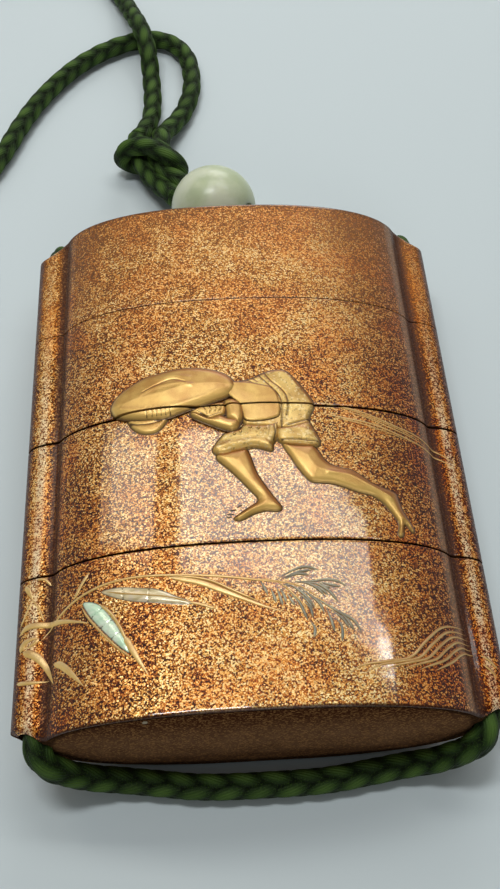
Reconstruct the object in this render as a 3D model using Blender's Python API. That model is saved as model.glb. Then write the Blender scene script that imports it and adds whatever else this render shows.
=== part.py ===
"""A lacquered four-tier case (inro) lying on its back, with its cord, bead and knot.

Units are metres. +X runs across the case, +Y towards the lid, +Z up, out of the
decorated face. The origin is under the middle of the case, on the table.
"""

import math

import bmesh
import bpy
import numpy as np
from mathutils import Matrix, Vector

# Cross-section of the body, a flattened oval
BODY_WIDTH = 0.0521
BODY_THICKNESS = 0.0196
OVAL_POWER = 2.33
BACK_FLAT = 0.00015

# Cord runners down both sides
RUNNER_INSET = 0.00105
RUNNER_REACH = 0.0050
RUNNER_THICKNESS = 0.0060
RUNNER_END_START = 0.0010
BASE_END_FALL = 0.0019
LID_END_FALL = 0.0026

# Tiers, from the base to the lid
LOWER_HEIGHT = 0.0211
MIDDLE_HEIGHT = 0.0200
UPPER_HEIGHT = 0.0188
LID_HEIGHT = 0.0186
SEAM_GAP = 0.0003
SEAM_BEVEL = 0.0001
EDGE_CHAMFER = 0.00035

# Hollows and the thin risers that seat in the piece above
OUTER_WALL = 0.0012
SEAT_CLEARANCE = 0.0003
RISER_WALL = 0.0009
RISER_HEIGHT = 0.0060
SOCKET_END_WALL = 0.00175
FLOOR = 0.0014
BASE_FLOOR = 0.0020
LID_TOP = 0.0020

# Cord, and the channel that it runs in
CORD_DIAMETER = 0.0034
CORD_CLEARANCE = 0.00035
CHANNEL_INSET = 0.0030

# Bead
BEAD_DIAMETER = 0.0140
BEAD_CENTRE = Vector((-0.0024, 0.0512, 0.0070))
BEAD_AXIS = Vector((-0.60, 0.755, -0.26)).normalized()
STRAND_GAP = 0.0004

# Relief on the front face
HAT_RELIEF = 0.0011
BRIM_RELIEF = 0.0005
ROBE_RELIEF = 0.0009
BACK_RELIEF = 0.0006
LIMB_SINK = 0.0006
RELIEF_SINK = 0.0006

# Mesh fineness
OVAL_STEPS = 22
RUNNER_STEPS = 8
HOLLOW_STEPS = 40
CHANNEL_SIDES = 16

# Worked out from the sizes above
CORD_R = CORD_DIAMETER / 2
CHANNEL_R = CORD_R + CORD_CLEARANCE
RUNNER_ROOT = BODY_WIDTH / 2 - RUNNER_INSET
HALF_WIDTH = RUNNER_ROOT + RUNNER_REACH
CHANNEL_X = HALF_WIDTH - CHANNEL_INSET
MID_Z = BODY_THICKNESS / 2 - BACK_FLAT
TOTAL_HEIGHT = LOWER_HEIGHT + MIDDLE_HEIGHT + UPPER_HEIGHT + LID_HEIGHT
BASE_Y = -TOTAL_HEIGHT / 2
SEAM_LOWER_Y = BASE_Y + LOWER_HEIGHT
SEAM_MIDDLE_Y = SEAM_LOWER_Y + MIDDLE_HEIGHT
SEAM_UPPER_Y = SEAM_MIDDLE_Y + UPPER_HEIGHT
LID_Y = BASE_Y + TOTAL_HEIGHT
SOCKET_DEPTH = RISER_HEIGHT + SEAT_CLEARANCE


# Scene and materials


def clear_scene():
    for item in list(bpy.data.objects):
        bpy.data.objects.remove(item, do_unlink=True)


def material(name, colour, roughness, metallic=0.0):
    made = bpy.data.materials.new(name)
    made.use_nodes = True
    shader = made.node_tree.nodes["Principled BSDF"]
    shader.inputs["Base Color"].default_value = (*colour, 1.0)
    shader.inputs["Roughness"].default_value = roughness
    shader.inputs["Metallic"].default_value = metallic
    return made


def lacquer(name):
    return material(name, (0.55, 0.30, 0.10), 0.25, 0.6)


def add_object(name, mesh, paint=None):
    made = bpy.data.objects.new(name, mesh)
    bpy.context.collection.objects.link(made)
    if paint is not None:
        mesh.materials.append(paint)
    return made


def as_cutter(item):
    item.hide_render = True
    item.display_type = "WIRE"
    return item


def boolean(target, tool, operation):
    step = target.modifiers.new(f"{operation.lower()} {tool.name}", "BOOLEAN")
    step.object = tool
    step.operation = operation
    step.solver = "EXACT"


# Outlines in the plane across the case, as (x, z) from the middle of the section


def oval_z(x, half_width, half_thickness):
    share = min(1.0, abs(x) / half_width)
    return half_thickness * (1 - share**OVAL_POWER) ** (1 / OVAL_POWER)


def oval(half_width, half_thickness, steps):
    points = []
    for k in range(steps):
        angle = 2 * math.pi * k / steps
        c, s = math.cos(angle), math.sin(angle)
        x = half_width * math.copysign(abs(c) ** (2 / OVAL_POWER), c)
        z = half_thickness * math.copysign(abs(s) ** (2 / OVAL_POWER), s)
        points.append((x, z))
    return points


def runner_z(x, reach, half_thickness):
    share = min(1.0, max(0.0, (abs(x) - RUNNER_ROOT) / reach))
    return half_thickness * math.sqrt(1 - share**2)


def groove_x(half_width, half_thickness, reach, runner_half):
    """Where the body's oval meets the top of a runner."""
    low, high = RUNNER_ROOT - reach, min(half_width, RUNNER_ROOT + reach)
    for _ in range(50):
        x = (low + high) / 2
        if oval_z(x, half_width, half_thickness) > runner_z(x, reach, runner_half):
            low = x
        else:
            high = x
    return low


def case_outline(reach=RUNNER_REACH, inset=0.0):
    """The whole outline, counter-clockwise seen from the base, runners and all."""
    half_width = BODY_WIDTH / 2 - inset
    half_thickness = BODY_THICKNESS / 2 - inset
    reach, runner_half = reach - inset, RUNNER_THICKNESS / 2 - inset
    groove = groove_x(half_width, half_thickness, reach, runner_half)
    start = math.acos((groove / half_width) ** (OVAL_POWER / 2))
    front = []
    for k in range(OVAL_STEPS + 1):
        c = math.cos(start + (math.pi - 2 * start) * k / OVAL_STEPS)
        x = half_width * math.copysign(abs(c) ** (2 / OVAL_POWER), c)
        front.append((x, oval_z(x, half_width, half_thickness)))
    first = math.acos(min(1.0, (groove - RUNNER_ROOT) / reach))
    side = []
    for k in range(1, RUNNER_STEPS):
        angle = first - 2 * first * k / RUNNER_STEPS
        side.append((-RUNNER_ROOT - reach * math.cos(angle), runner_half * math.sin(angle)))
    half = front + side
    points = half + [(-x, -z) for x, z in half]
    lowest = -(BODY_THICKNESS / 2 - BACK_FLAT)
    return [(x, max(z, lowest + inset)) for x, z in points]


def end_reach(depth, fall):
    """How far a runner reaches out, this far in from the end that it slopes to."""
    share = min(1.0, depth / fall)
    return RUNNER_END_START + (RUNNER_REACH - RUNNER_END_START) * share


# Solids made of such outlines


def loft(name, sections, paint=None):
    """A closed solid through (y, outline) sections given from low y to high y."""
    mesh = bpy.data.meshes.new(name)
    work = bmesh.new()
    rings = []
    for y, outline in sections:
        rings.append([work.verts.new((x, y, MID_Z + z)) for x, z in outline])
    for low, high in zip(rings, rings[1:]):
        for k in range(len(low)):
            n = (k + 1) % len(low)
            work.faces.new((low[k], low[n], high[n], high[k]))
    work.faces.new(list(reversed(rings[0])))
    work.faces.new(rings[-1])
    bmesh.ops.recalc_face_normals(work, faces=work.faces)
    work.to_mesh(mesh)
    work.free()
    return add_object(name, mesh, paint)


def hollow(name, inset, side_inset, low, high):
    """A cutter or riser: the body's oval moved in by inset at the front and back."""
    half_width = CHANNEL_X - CHANNEL_R - side_inset
    half_thickness = BODY_THICKNESS / 2 - inset
    outline = oval(half_width, half_thickness, HOLLOW_STEPS)
    return loft(name, [(low, outline), (high, outline)])


def channel(name, side, low, high):
    mesh = bpy.data.meshes.new(name)
    work = bmesh.new()
    bmesh.ops.create_cone(
        work,
        cap_ends=True,
        segments=CHANNEL_SIDES,
        radius1=CHANNEL_R,
        radius2=CHANNEL_R,
        depth=high - low,
        matrix=Matrix.Translation((side * CHANNEL_X, (low + high) / 2, MID_Z))
        @ Matrix.Rotation(math.radians(90), 4, "X"),
    )
    work.to_mesh(mesh)
    work.free()
    return as_cutter(add_object(name, mesh))


# Relief: raised shapes that follow the front face


def front_z(x):
    return MID_Z + oval_z(x, BODY_WIDTH / 2, BODY_THICKNESS / 2)


def smooth_loop(points, steps):
    """A closed smooth curve through the points, as an array of steps points."""
    base = np.array(points, float)
    n = len(base)
    out = []
    for k in range(steps):
        at = k * n / steps
        i, t = int(at), at % 1
        p0, p1, p2, p3 = (base[(i + j - 1) % n] for j in range(4))
        out.append(
            0.5
            * (
                2 * p1
                + (p2 - p0) * t
                + (2 * p0 - 5 * p1 + 4 * p2 - p3) * t**2
                + (3 * p1 - p0 - 3 * p2 + p3) * t**3
            )
        )
    return np.array(out)


def smooth_line(points, step):
    """An open smooth curve through the points, with points about a step apart."""
    base = np.array([tuple(p) for p in points], float)
    padded = np.vstack([2 * base[0] - base[1], base, 2 * base[-1] - base[-2]])
    fine = []
    for i in range(len(base) - 1):
        p0, p1, p2, p3 = padded[i : i + 4]
        a, b = np.linalg.norm(p2 - p1), 0.5
        k0 = np.linalg.norm(p1 - p0) ** b
        k1, k2 = a**b, np.linalg.norm(p3 - p2) ** b
        m1 = ((p1 - p0) / k0 - (p2 - p0) / (k0 + k1) + (p2 - p1) / k1) * k1
        m2 = ((p2 - p1) / k1 - (p3 - p1) / (k1 + k2) + (p3 - p2) / k2) * k1
        for t in np.arange(0, 1, 0.05):
            fine.append(
                (2 * t**3 - 3 * t**2 + 1) * p1
                + (t**3 - 2 * t**2 + t) * m1
                + (3 * t**2 - 2 * t**3) * p2
                + (t**3 - t**2) * m2
            )
    fine = np.array(fine + [base[-1]])
    along = np.concatenate([[0], np.cumsum(np.linalg.norm(np.diff(fine, axis=0), axis=1))])
    at = np.linspace(0, along[-1], max(2, round(along[-1] / step) + 1))
    return np.stack([np.interp(at, along, fine[:, k]) for k in range(fine.shape[1])], axis=1)


def relief(name, rings):
    """A closed raised shape from rings of (x, y, height over the face)."""
    work = bmesh.new()
    made = []
    for ring in rings:
        made.append([work.verts.new((x, y, front_z(x) + h)) for x, y, h in ring])
    for low, high in zip(made, made[1:]):
        for k in range(len(low)):
            n = (k + 1) % len(low)
            work.faces.new((low[k], low[n], high[n], high[k]))
    for ring, flip in ((made[0], True), (made[-1], False)):
        middle = work.verts.new(sum((v.co for v in ring), Vector()) / len(ring))
        for k in range(len(ring)):
            n = (k + 1) % len(ring)
            work.faces.new((ring[n], ring[k], middle) if flip else (ring[k], ring[n], middle))
    bmesh.ops.recalc_face_normals(work, faces=work.faces)
    mesh = bpy.data.meshes.new(name)
    work.to_mesh(mesh)
    work.free()
    return as_cutter(add_object(name, mesh))


def pillow(outline_mm, height, steps, levels=(1.0, 0.86, 0.6, 0.25)):
    """Rings of a dome over an outline given in millimetres on the face."""
    edge = smooth_loop([(x / 1000, y / 1000) for x, y in outline_mm], steps)
    centre = edge.mean(axis=0)
    rings = [[(x, y, -RELIEF_SINK) for x, y in edge]]
    for share in levels:
        ring = centre + share * (edge - centre)
        rise = height * (1 - share**3) ** 0.5
        rings.append([(x, y, rise) for x, y in ring])
    return rings


def limb(stations_mm, sides=8):
    """Rings along a limb: (x, y, half width, height over the face) in millimetres."""
    line = smooth_line([[v / 1000 for v in s] for s in stations_mm], 0.0017)
    rings = []
    for k, (x, y, half, height) in enumerate(line):
        ahead = line[min(k + 1, len(line) - 1)][:2] - line[max(k - 1, 0)][:2]
        across = np.array([-ahead[1], ahead[0]]) / np.linalg.norm(ahead)
        ring = []
        for j in range(sides):
            angle = 2 * math.pi * j / sides
            px, py = np.array([x, y]) + across * half * math.cos(angle)
            lift = (height if math.sin(angle) > 0 else LIMB_SINK) * math.sin(angle)
            ring.append((px, py, lift))
        rings.append(ring)
    return rings


# The figure on the face, in millimetres from the middle of the case: a traveller
# bent under a broad hat, in short robes, running against rain
HAT = [
    (-18.0, 2.9), (-16.9, 4.9), (-14.9, 6.6), (-12.2, 7.7), (-8.9, 8.3), (-5.2, 8.1),
    (-2.4, 7.0), (-1.3, 5.3), (-2.6, 3.7), (-6.0, 2.3), (-11.0, 1.2), (-16.4, 0.9),
]
UNDER_HAT = [
    (-16.2, 1.4), (-15.2, 0.0), (-13.8, -1.2), (-12.2, -1.4), (-10.8, -0.6), (-9.8, 0.8),
    (-12.6, 1.6),
]
TORSO = [(-2.2, 5.4), (0.6, 6.7), (4.6, 6.9), (5.4, 3.0), (4.6, -2.0), (0.6, -2.6), (-1.4, -1.2)]
ROBE_BACK = [(3.4, 7.2), (5.6, 7.3), (7.4, 5.6), (9.0, 2.6), (8.4, -0.4), (5.2, -0.6), (4.6, 3.2)]
ROBE_FRONT_HEM = [
    (-3.9, -2.4), (-4.6, -4.6), (-3.8, -5.8), (-0.2, -5.5), (3.4, -5.3), (4.3, -3.0), (3.6, -0.6),
    (-0.6, -1.0),
]
ROBE_BACK_HEM = [(4.6, -0.2), (8.6, -0.2), (9.7, -2.6), (8.9, -4.6), (6.4, -4.9), (4.2, -4.4)]
ARM = [(-7.6, 1.5, 0.7, 0.35), (-5.0, 1.0, 1.0, 0.7), (-2.6, 0.1, 1.3, 0.9), (-1.3, -1.4, 1.2, 0.6)]
FRONT_LEG = [
    (-1.7, -5.0, 1.9, 0.5), (-1.5, -6.6, 1.7, 0.9), (-0.4, -8.6, 1.4, 1.0),
    (1.0, -11.0, 1.0, 0.8), (2.2, -13.2, 0.8, 0.7), (2.7, -14.1, 0.8, 0.6),
]
FRONT_FOOT = [(3.2, -14.0, 0.6, 0.6), (1.2, -13.9, 0.8, 0.6), (-1.2, -14.4, 0.6, 0.45), (-3.0, -14.9, 0.4, 0.3)]
BACK_LEG = [
    (6.0, -4.2, 1.9, 0.5), (7.3, -6.0, 2.0, 0.9), (9.0, -8.8, 1.7, 1.0),
    (12.0, -9.6, 1.4, 1.0), (15.2, -10.4, 1.2, 0.9), (17.4, -11.7, 0.9, 0.7),
]
BACK_FOOT = [(17.0, -11.2, 0.8, 0.6), (18.4, -13.4, 0.7, 0.55), (19.0, -15.4, 0.6, 0.45), (19.2, -17.0, 0.5, 0.3)]

FIGURE = [
    ("brim", pillow(UNDER_HAT, BRIM_RELIEF, 14)),
    ("torso", pillow(TORSO, BACK_RELIEF, 18)),
    ("back_leg", limb(BACK_LEG)),
    ("back_foot", limb(BACK_FOOT, 6)),
    ("front_leg", limb(FRONT_LEG)),
    ("front_foot", limb(FRONT_FOOT, 6)),
    ("robe_back", pillow(ROBE_BACK, ROBE_RELIEF, 16)),
    ("robe_back_hem", pillow(ROBE_BACK_HEM, ROBE_RELIEF, 14)),
    ("robe_front_hem", pillow(ROBE_FRONT_HEM, ROBE_RELIEF, 18)),
    ("arm", limb(ARM, 6)),
    ("hat", pillow(HAT, HAT_RELIEF, 26)),
]


def slab(name, low, high):
    """A block around the whole face between two heights along the case."""
    size = (4 * HALF_WIDTH, high - low, 4 * BODY_THICKNESS)
    mesh = bpy.data.meshes.new(name)
    work = bmesh.new()
    place = Matrix.Translation((0, (low + high) / 2, MID_Z)) @ Matrix.Diagonal((*size, 1.0))
    bmesh.ops.create_cube(work, size=1.0, matrix=place)
    work.to_mesh(mesh)
    work.free()
    return as_cutter(add_object(name, mesh))


def add_figure(tier, low, high):
    """Raises the stretch of the figure that lies on this tier."""
    whole = None
    for name, rings in FIGURE:
        ys = [p[1] for ring in rings for p in ring]
        if max(ys) <= low or min(ys) >= high:
            continue
        shape = relief(f"{tier.name}_{name}", rings)
        if whole is None:
            whole = shape
        else:
            boolean(whole, shape, "UNION")
    if whole is not None:
        cut = slab(f"{tier.name}_slab", low + SEAM_BEVEL, high - SEAM_BEVEL)
        boolean(whole, cut, "INTERSECT")
        boolean(tier, whole, "UNION")


# Tiers


def tier_body(name, low, high, base_end=False, lid_end=False):
    """The outer solid of one tier, with sloped runner ends where the case ends."""
    full = case_outline()
    sections = []
    if base_end:
        sections.append((low, case_outline(end_reach(0, BASE_END_FALL), EDGE_CHAMFER)))
        at = end_reach(EDGE_CHAMFER, BASE_END_FALL)
        sections.append((low + EDGE_CHAMFER, case_outline(at)))
        sections.append((low + BASE_END_FALL, full))
    else:
        sections.append((low, full))
    if lid_end:
        sections.append((high - LID_END_FALL, full))
        at = end_reach(EDGE_CHAMFER, LID_END_FALL)
        sections.append((high - EDGE_CHAMFER, case_outline(at)))
        sections.append((high, case_outline(end_reach(0, LID_END_FALL), EDGE_CHAMFER)))
    else:
        sections.append((high, full))
    return loft(name, sections, lacquer(f"lacquer_{name}"))


def cut_channels(tier, low, high):
    for side, word in ((-1, "left"), (1, "right")):
        tool = channel(f"{tier.name}_channel_{word}", side, low - 0.001, high + 0.001)
        boolean(tier, tool, "DIFFERENCE")


RISER_INSET = OUTER_WALL + SEAT_CLEARANCE
RISER_SIDE = SOCKET_END_WALL + SEAT_CLEARANCE


def add_riser(tier, floor_top, high):
    top = high + RISER_HEIGHT
    riser = hollow(f"{tier.name}_riser", RISER_INSET, RISER_SIDE, high - 0.002, top)
    boolean(tier, as_cutter(riser), "UNION")
    inside = hollow(
        f"{tier.name}_inside",
        RISER_INSET + RISER_WALL,
        RISER_SIDE + RISER_WALL,
        floor_top,
        top + 0.001,
    )
    boolean(tier, as_cutter(inside), "DIFFERENCE")


def cut_socket(tier, low, depth):
    tool = hollow(f"{tier.name}_socket", OUTER_WALL, SOCKET_END_WALL, low - 0.001, low + depth)
    boolean(tier, as_cutter(tool), "DIFFERENCE")


def build_case():
    gap = SEAM_GAP / 2

    low, high = BASE_Y, SEAM_LOWER_Y - gap
    lower = tier_body("case_lower", low, high, base_end=True)
    add_riser(lower, low + BASE_FLOOR, high)
    cut_channels(lower, low, high)

    low, high = SEAM_LOWER_Y + gap, SEAM_MIDDLE_Y - gap
    middle = tier_body("case_middle", low, high)
    add_riser(middle, low + SOCKET_DEPTH + FLOOR, high)
    cut_socket(middle, low, SOCKET_DEPTH)
    cut_channels(middle, low, high)
    add_figure(middle, low, high)

    low, high = SEAM_MIDDLE_Y + gap, SEAM_UPPER_Y - gap
    upper = tier_body("case_upper", low, high)
    add_riser(upper, low + SOCKET_DEPTH + FLOOR, high)
    cut_socket(upper, low, SOCKET_DEPTH)
    cut_channels(upper, low, high)
    add_figure(upper, low, high)

    low, high = SEAM_UPPER_Y + gap, LID_Y
    lid = tier_body("lid", low, high, lid_end=True)
    cut_socket(lid, low, LID_HEIGHT - gap - LID_TOP)
    cut_channels(lid, low, high)


# Bead, cords and knot

BEAD_ACROSS = BEAD_AXIS.cross(Vector((0, 0, 1))).normalized()
STRAND_SIDE = CORD_R + STRAND_GAP / 2


def at_bead(along, side):
    """A point on one strand through the bead: side is -1 left or +1 right."""
    return BEAD_CENTRE + BEAD_AXIS * along + BEAD_ACROSS * side * STRAND_SIDE


def build_bead():
    mesh = bpy.data.meshes.new("bead")
    work = bmesh.new()
    bmesh.ops.create_uvsphere(
        work,
        u_segments=24,
        v_segments=14,
        radius=BEAD_DIAMETER / 2,
        matrix=Matrix.Translation(BEAD_CENTRE),
    )
    work.to_mesh(mesh)
    work.free()
    bead = add_object("bead", mesh, material("bead_stone", (0.62, 0.68, 0.52), 0.3))

    mesh = bpy.data.meshes.new("bead_bore")
    work = bmesh.new()
    turn = Matrix((BEAD_ACROSS, BEAD_AXIS, BEAD_ACROSS.cross(BEAD_AXIS))).transposed().to_4x4()
    place = Matrix.Translation(BEAD_CENTRE) @ turn
    outline = []
    for side in (1, -1):
        for k in range(7):
            angle = -math.pi / 2 + math.pi * k / 6
            x = side * (STRAND_SIDE + CHANNEL_R * math.cos(angle))
            outline.append((x, side * CHANNEL_R * math.sin(angle)))
    ends = []
    for along in (-BEAD_DIAMETER, BEAD_DIAMETER):
        ends.append([work.verts.new(place @ Vector((x, along, z))) for x, z in outline])
    for k in range(len(outline)):
        n = (k + 1) % len(outline)
        work.faces.new((ends[0][k], ends[0][n], ends[1][n], ends[1][k]))
    work.faces.new(ends[0])
    work.faces.new(ends[1])
    bmesh.ops.recalc_face_normals(work, faces=work.faces)
    work.to_mesh(mesh)
    work.free()
    boolean(bead, as_cutter(add_object("bead_bore", mesh)), "DIFFERENCE")
    return bead


def cord(name, points):
    """A round cord through points that already lie on a smooth curve."""
    curve = bpy.data.curves.new(name, "CURVE")
    curve.dimensions = "3D"
    curve.bevel_depth = CORD_R
    curve.bevel_resolution = 2
    curve.use_fill_caps = True
    spline = curve.splines.new("POLY")
    spline.points.add(len(points) - 1)
    for point, place in zip(spline.points, points):
        point.co = (*place, 1.0)
    made = bpy.data.objects.new(name, curve)
    bpy.context.collection.objects.link(made)
    curve.materials.append(material(f"{name}_silk", (0.08, 0.16, 0.05), 0.8))
    return made


def mm(*points):
    return [Vector(p) / 1000 for p in points]


# The cord through the case, from the knot through the bead, down the left runner,
# across in front of the base and back up the right one
KNOT_FACE = 0.0080
CORD_POINT_STEP = 0.0004
CASE_CORD_TOLERANCE = 0.00013
LOOP_TOLERANCE = 0.00040
LONGEST_RUN = 3.0
LEFT_TOP = mm(
    (1.5, 43.3, 9.0), (2.4, 42.1, 7.8), (2.0, 41.4, 6.1), (0.2, 41.3, 4.5), (-2.9, 41.4, 3.4),
    (-7.2, 41.5, 2.6), (-12.6, 41.7, 2.6), (-17.6, 41.8, 3.1), (-21.6, 41.9, 4.4),
    (-24.8, 41.8, 6.6), (-26.4, 41.1, 8.5), (-26.9, 39.6, 9.5),
)
UNDER_BASE = mm(
    (-26.85, -39.4, 9.5), (-26.6, -40.85, 8.8), (-25.9, -41.3, 7.4), (-24.7, -41.3, 5.8),
    (-22.9, -41.2, 4.2), (-20.6, -41.25, 2.9), (-17.3, -41.6, 2.0), (-13.0, -42.1, 1.8),
    (-8.0, -42.5, 1.8), (0.0, -42.7, 1.8), (8.0, -42.5, 1.8), (14.0, -42.0, 1.8),
    (19.0, -41.4, 2.0), (22.4, -41.25, 2.9), (24.6, -41.25, 4.4), (25.9, -41.3, 6.2),
    (26.6, -41.1, 8.1), (26.9, -39.9, 9.4),
)
RIGHT_TOP = mm(
    (26.9, 39.6, 9.5), (26.5, 41.1, 8.6), (25.2, 41.8, 7.1), (22.8, 42.0, 5.3),
    (19.0, 42.1, 3.7), (15.0, 42.6, 3.3), (11.6, 43.2, 4.6), (8.6, 44.0, 6.9), (5.9, 45.0, 8.6),
)


def channel_points(side, end_y, inwards):
    """Two points on a channel's axis, just inside the mouth that the cord comes out of."""
    return [Vector((side * CHANNEL_X, end_y + inwards * d, MID_Z)) for d in (0.006, 0.002)]


def by_bend(line, tolerance, longest):
    """Picks a line's points so that straight runs between them stay this near it."""
    keep, i = [0], 0
    while i < len(line) - 1:
        j = i + 1
        while j + 1 < len(line):
            run = line[j + 1] - line[i]
            size = np.linalg.norm(run)
            inner = line[i + 1 : j + 1] - line[i]
            off = np.linalg.norm(np.cross(inner, run / size), axis=1).max()
            if size > longest or off > tolerance:
                break
            j += 1
        keep.append(j)
        i = j
    return line[keep]


def cord_points(route, tolerance):
    fine = smooth_line(route, CORD_POINT_STEP)
    return by_bend(fine, tolerance, LONGEST_RUN * CORD_DIAMETER)


def case_cord_points():
    """The three curved stretches of the case's cord; straight channels join them."""
    through = (KNOT_FACE, 0.004, 0.0, -0.004, -0.0072)
    left_in = channel_points(-1, LID_Y, -1)
    right_in = channel_points(1, LID_Y, -1)
    first = [at_bead(along, -1) for along in through] + LEFT_TOP + left_in[::-1]
    second = channel_points(-1, BASE_Y, 1) + UNDER_BASE + channel_points(1, BASE_Y, 1)[::-1]
    third = right_in + RIGHT_TOP + [at_bead(along, 1) for along in reversed(through)]
    return np.vstack([cord_points(part, CASE_CORD_TOLERANCE) for part in (first, second, third)])


# The loop beyond the knot
LOOP = mm(
    (-15.4, 72.6, 3.6), (-14.1, 75.9, 2.6), (-13.0, 80.0, 1.8), (-12.6, 85.0, 1.8),
    (-12.7, 91.0, 2.3), (-13.2, 97.0, 4.3), (-14.2, 103.4, 5.8), (-16.2, 110.0, 4.3),
    (-19.2, 118.0, 2.0), (-24.0, 126.0, 1.8), (-32.0, 130.5, 1.8), (-42.0, 129.0, 1.8),
    (-50.0, 121.0, 1.8), (-54.5, 108.0, 1.8), (-56.5, 92.0, 1.8), (-56.0, 78.0, 1.8),
    (-53.4, 68.6, 1.8), (-48.4, 64.0, 1.8), (-43.0, 65.6, 1.8), (-39.6, 71.6, 1.8),
    (-37.2, 78.2, 1.8), (-34.2, 85.0, 1.8), (-30.6, 91.0, 1.8), (-26.0, 96.6, 1.8),
    (-20.6, 100.8, 1.8), (-14.6, 103.2, 1.8), (-9.8, 102.6, 1.8), (-6.4, 98.8, 1.8),
    (-5.2, 93.0, 1.8), (-5.4, 87.0, 1.8), (-7.2, 81.0, 1.8), (-9.4, 76.6, 2.6),
    (-11.0, 73.4, 3.6),
)


# The knot's lumps: centre and radii in millimetres, and the turn about Z in degrees
KNOT_LUMPS = [
    ((-11.4, 62.4, 3.7), (3.1, 6.6, 3.6), 38),
    ((-16.9, 67.0, 3.0), (2.7, 2.7, 2.9), 0),
    ((-8.3, 64.2, 4.2), (2.6, 3.0, 3.1), 0),
    ((-13.2, 68.9, 3.8), (3.9, 3.1, 3.0), 0),
    ((-7.4, 58.0, 4.7), (3.9, 2.6, 3.7), 38),
]


def build_knot():
    """The gathered knot between the bead and the loop, as one lump with a flat end."""
    first = None
    for k, (centre, radii, turn) in enumerate(KNOT_LUMPS):
        mesh = bpy.data.meshes.new(f"knot_{k}")
        work = bmesh.new()
        bmesh.ops.create_uvsphere(
            work,
            u_segments=14,
            v_segments=9,
            radius=0.001,
            matrix=Matrix.Translation(Vector(centre) / 1000)
            @ Matrix.Rotation(math.radians(turn), 4, "Z")
            @ Matrix.Diagonal((*radii, 1.0)),
        )
        work.to_mesh(mesh)
        work.free()
        if first is None:
            paint = material("knot_silk", (0.08, 0.16, 0.05), 0.8)
            first = add_object("cord_knot", mesh, paint)
        else:
            boolean(first, as_cutter(add_object(f"knot_lump_{k}", mesh)), "UNION")
    face = KNOT_FACE + CORD_CLEARANCE
    mesh = bpy.data.meshes.new("knot_face")
    work = bmesh.new()
    turn = Matrix((BEAD_ACROSS, BEAD_AXIS, BEAD_ACROSS.cross(BEAD_AXIS))).transposed().to_4x4()
    middle = BEAD_CENTRE + BEAD_AXIS * (face - BEAD_DIAMETER / 2)
    bmesh.ops.create_cube(work, size=BEAD_DIAMETER, matrix=Matrix.Translation(middle) @ turn)
    work.to_mesh(mesh)
    work.free()
    boolean(first, as_cutter(add_object("knot_face", mesh)), "DIFFERENCE")
    return first


def main():
    clear_scene()
    build_case()
    build_bead()
    cord("cord_case", case_cord_points())
    cord("cord_loop", cord_points(LOOP, LOOP_TOLERANCE))
    build_knot()


main()
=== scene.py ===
import math

import bmesh
import bpy
import numpy as np
from mathutils import Euler, Matrix, Vector
from mathutils.geometry import delaunay_2d_cdt


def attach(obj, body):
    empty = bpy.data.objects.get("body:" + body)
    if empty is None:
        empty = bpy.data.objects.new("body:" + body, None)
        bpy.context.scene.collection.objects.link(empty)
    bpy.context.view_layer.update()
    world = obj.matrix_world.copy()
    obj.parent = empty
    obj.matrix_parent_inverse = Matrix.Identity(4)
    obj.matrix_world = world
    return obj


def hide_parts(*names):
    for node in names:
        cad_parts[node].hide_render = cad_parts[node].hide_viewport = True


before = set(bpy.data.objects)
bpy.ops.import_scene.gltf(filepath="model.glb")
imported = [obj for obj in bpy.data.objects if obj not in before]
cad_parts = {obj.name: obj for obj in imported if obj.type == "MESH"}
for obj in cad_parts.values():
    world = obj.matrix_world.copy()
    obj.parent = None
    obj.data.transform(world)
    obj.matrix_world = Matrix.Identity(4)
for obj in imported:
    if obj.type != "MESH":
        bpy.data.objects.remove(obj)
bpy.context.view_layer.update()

MM = 0.001

# Camera
CAMERA_PLACE = (-0.00567, -0.07914, 0.13485)
CAMERA_TURN = (33.095, -0.752, -3.352)
CAMERA_LENS = 43.28
SENSOR = 36.0

# Sizes of the case, as in the CAD
BODY_WIDTH, BODY_THICKNESS, OVAL_POWER, BACK_FLAT = 0.0521, 0.0196, 2.33, 0.00015
RUNNER_INSET, RUNNER_REACH, RUNNER_THICKNESS = 0.00105, 0.0050, 0.0060
RUNNER_END_START, BASE_END_FALL, LID_END_FALL = 0.0010, 0.0019, 0.0026
TIER_HEIGHTS = (0.0211, 0.0200, 0.0188, 0.0186)
EDGE_ROUND = 0.00035
OUTER_WALL, SEAT_CLEARANCE, RISER_WALL, RISER_HEIGHT = 0.0012, 0.0003, 0.0009, 0.0060
SOCKET_END_WALL, FLOOR, BASE_FLOOR, LID_TOP = 0.00175, 0.0014, 0.0020, 0.0020
CORD_DIAMETER, CORD_CLEARANCE, CHANNEL_INSET = 0.0034, 0.00035, 0.0030
BEAD_DIAMETER = 0.0140
BEAD_CENTRE = Vector((-0.0024, 0.0512, 0.0070))
BEAD_AXIS = Vector((-0.60, 0.755, -0.26)).normalized()
STRAND_GAP = 0.0004
KNOT_FACE = 0.0080
PATH_STEP, KNOT_STEP = 0.0005, 0.0004

# A chip at the base's front edge, in millimetres
CHIP_PLACE = (-13.6, -39.2, 17.1)

# How far the tiers stand apart at each seam, from the base up
SEAM_SHOWN = (0.00024, 0.00030, 0.00008)

CORD_R = CORD_DIAMETER / 2
CHANNEL_R = CORD_R + CORD_CLEARANCE
RUNNER_ROOT = BODY_WIDTH / 2 - RUNNER_INSET
HALF_WIDTH = RUNNER_ROOT + RUNNER_REACH
CHANNEL_X = HALF_WIDTH - CHANNEL_INSET
MID_Z = BODY_THICKNESS / 2 - BACK_FLAT
BASE_Y = -sum(TIER_HEIGHTS) / 2
LID_Y = -BASE_Y
SEAM_Y = [BASE_Y + sum(TIER_HEIGHTS[: k + 1]) for k in range(3)]


# Objects


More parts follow.
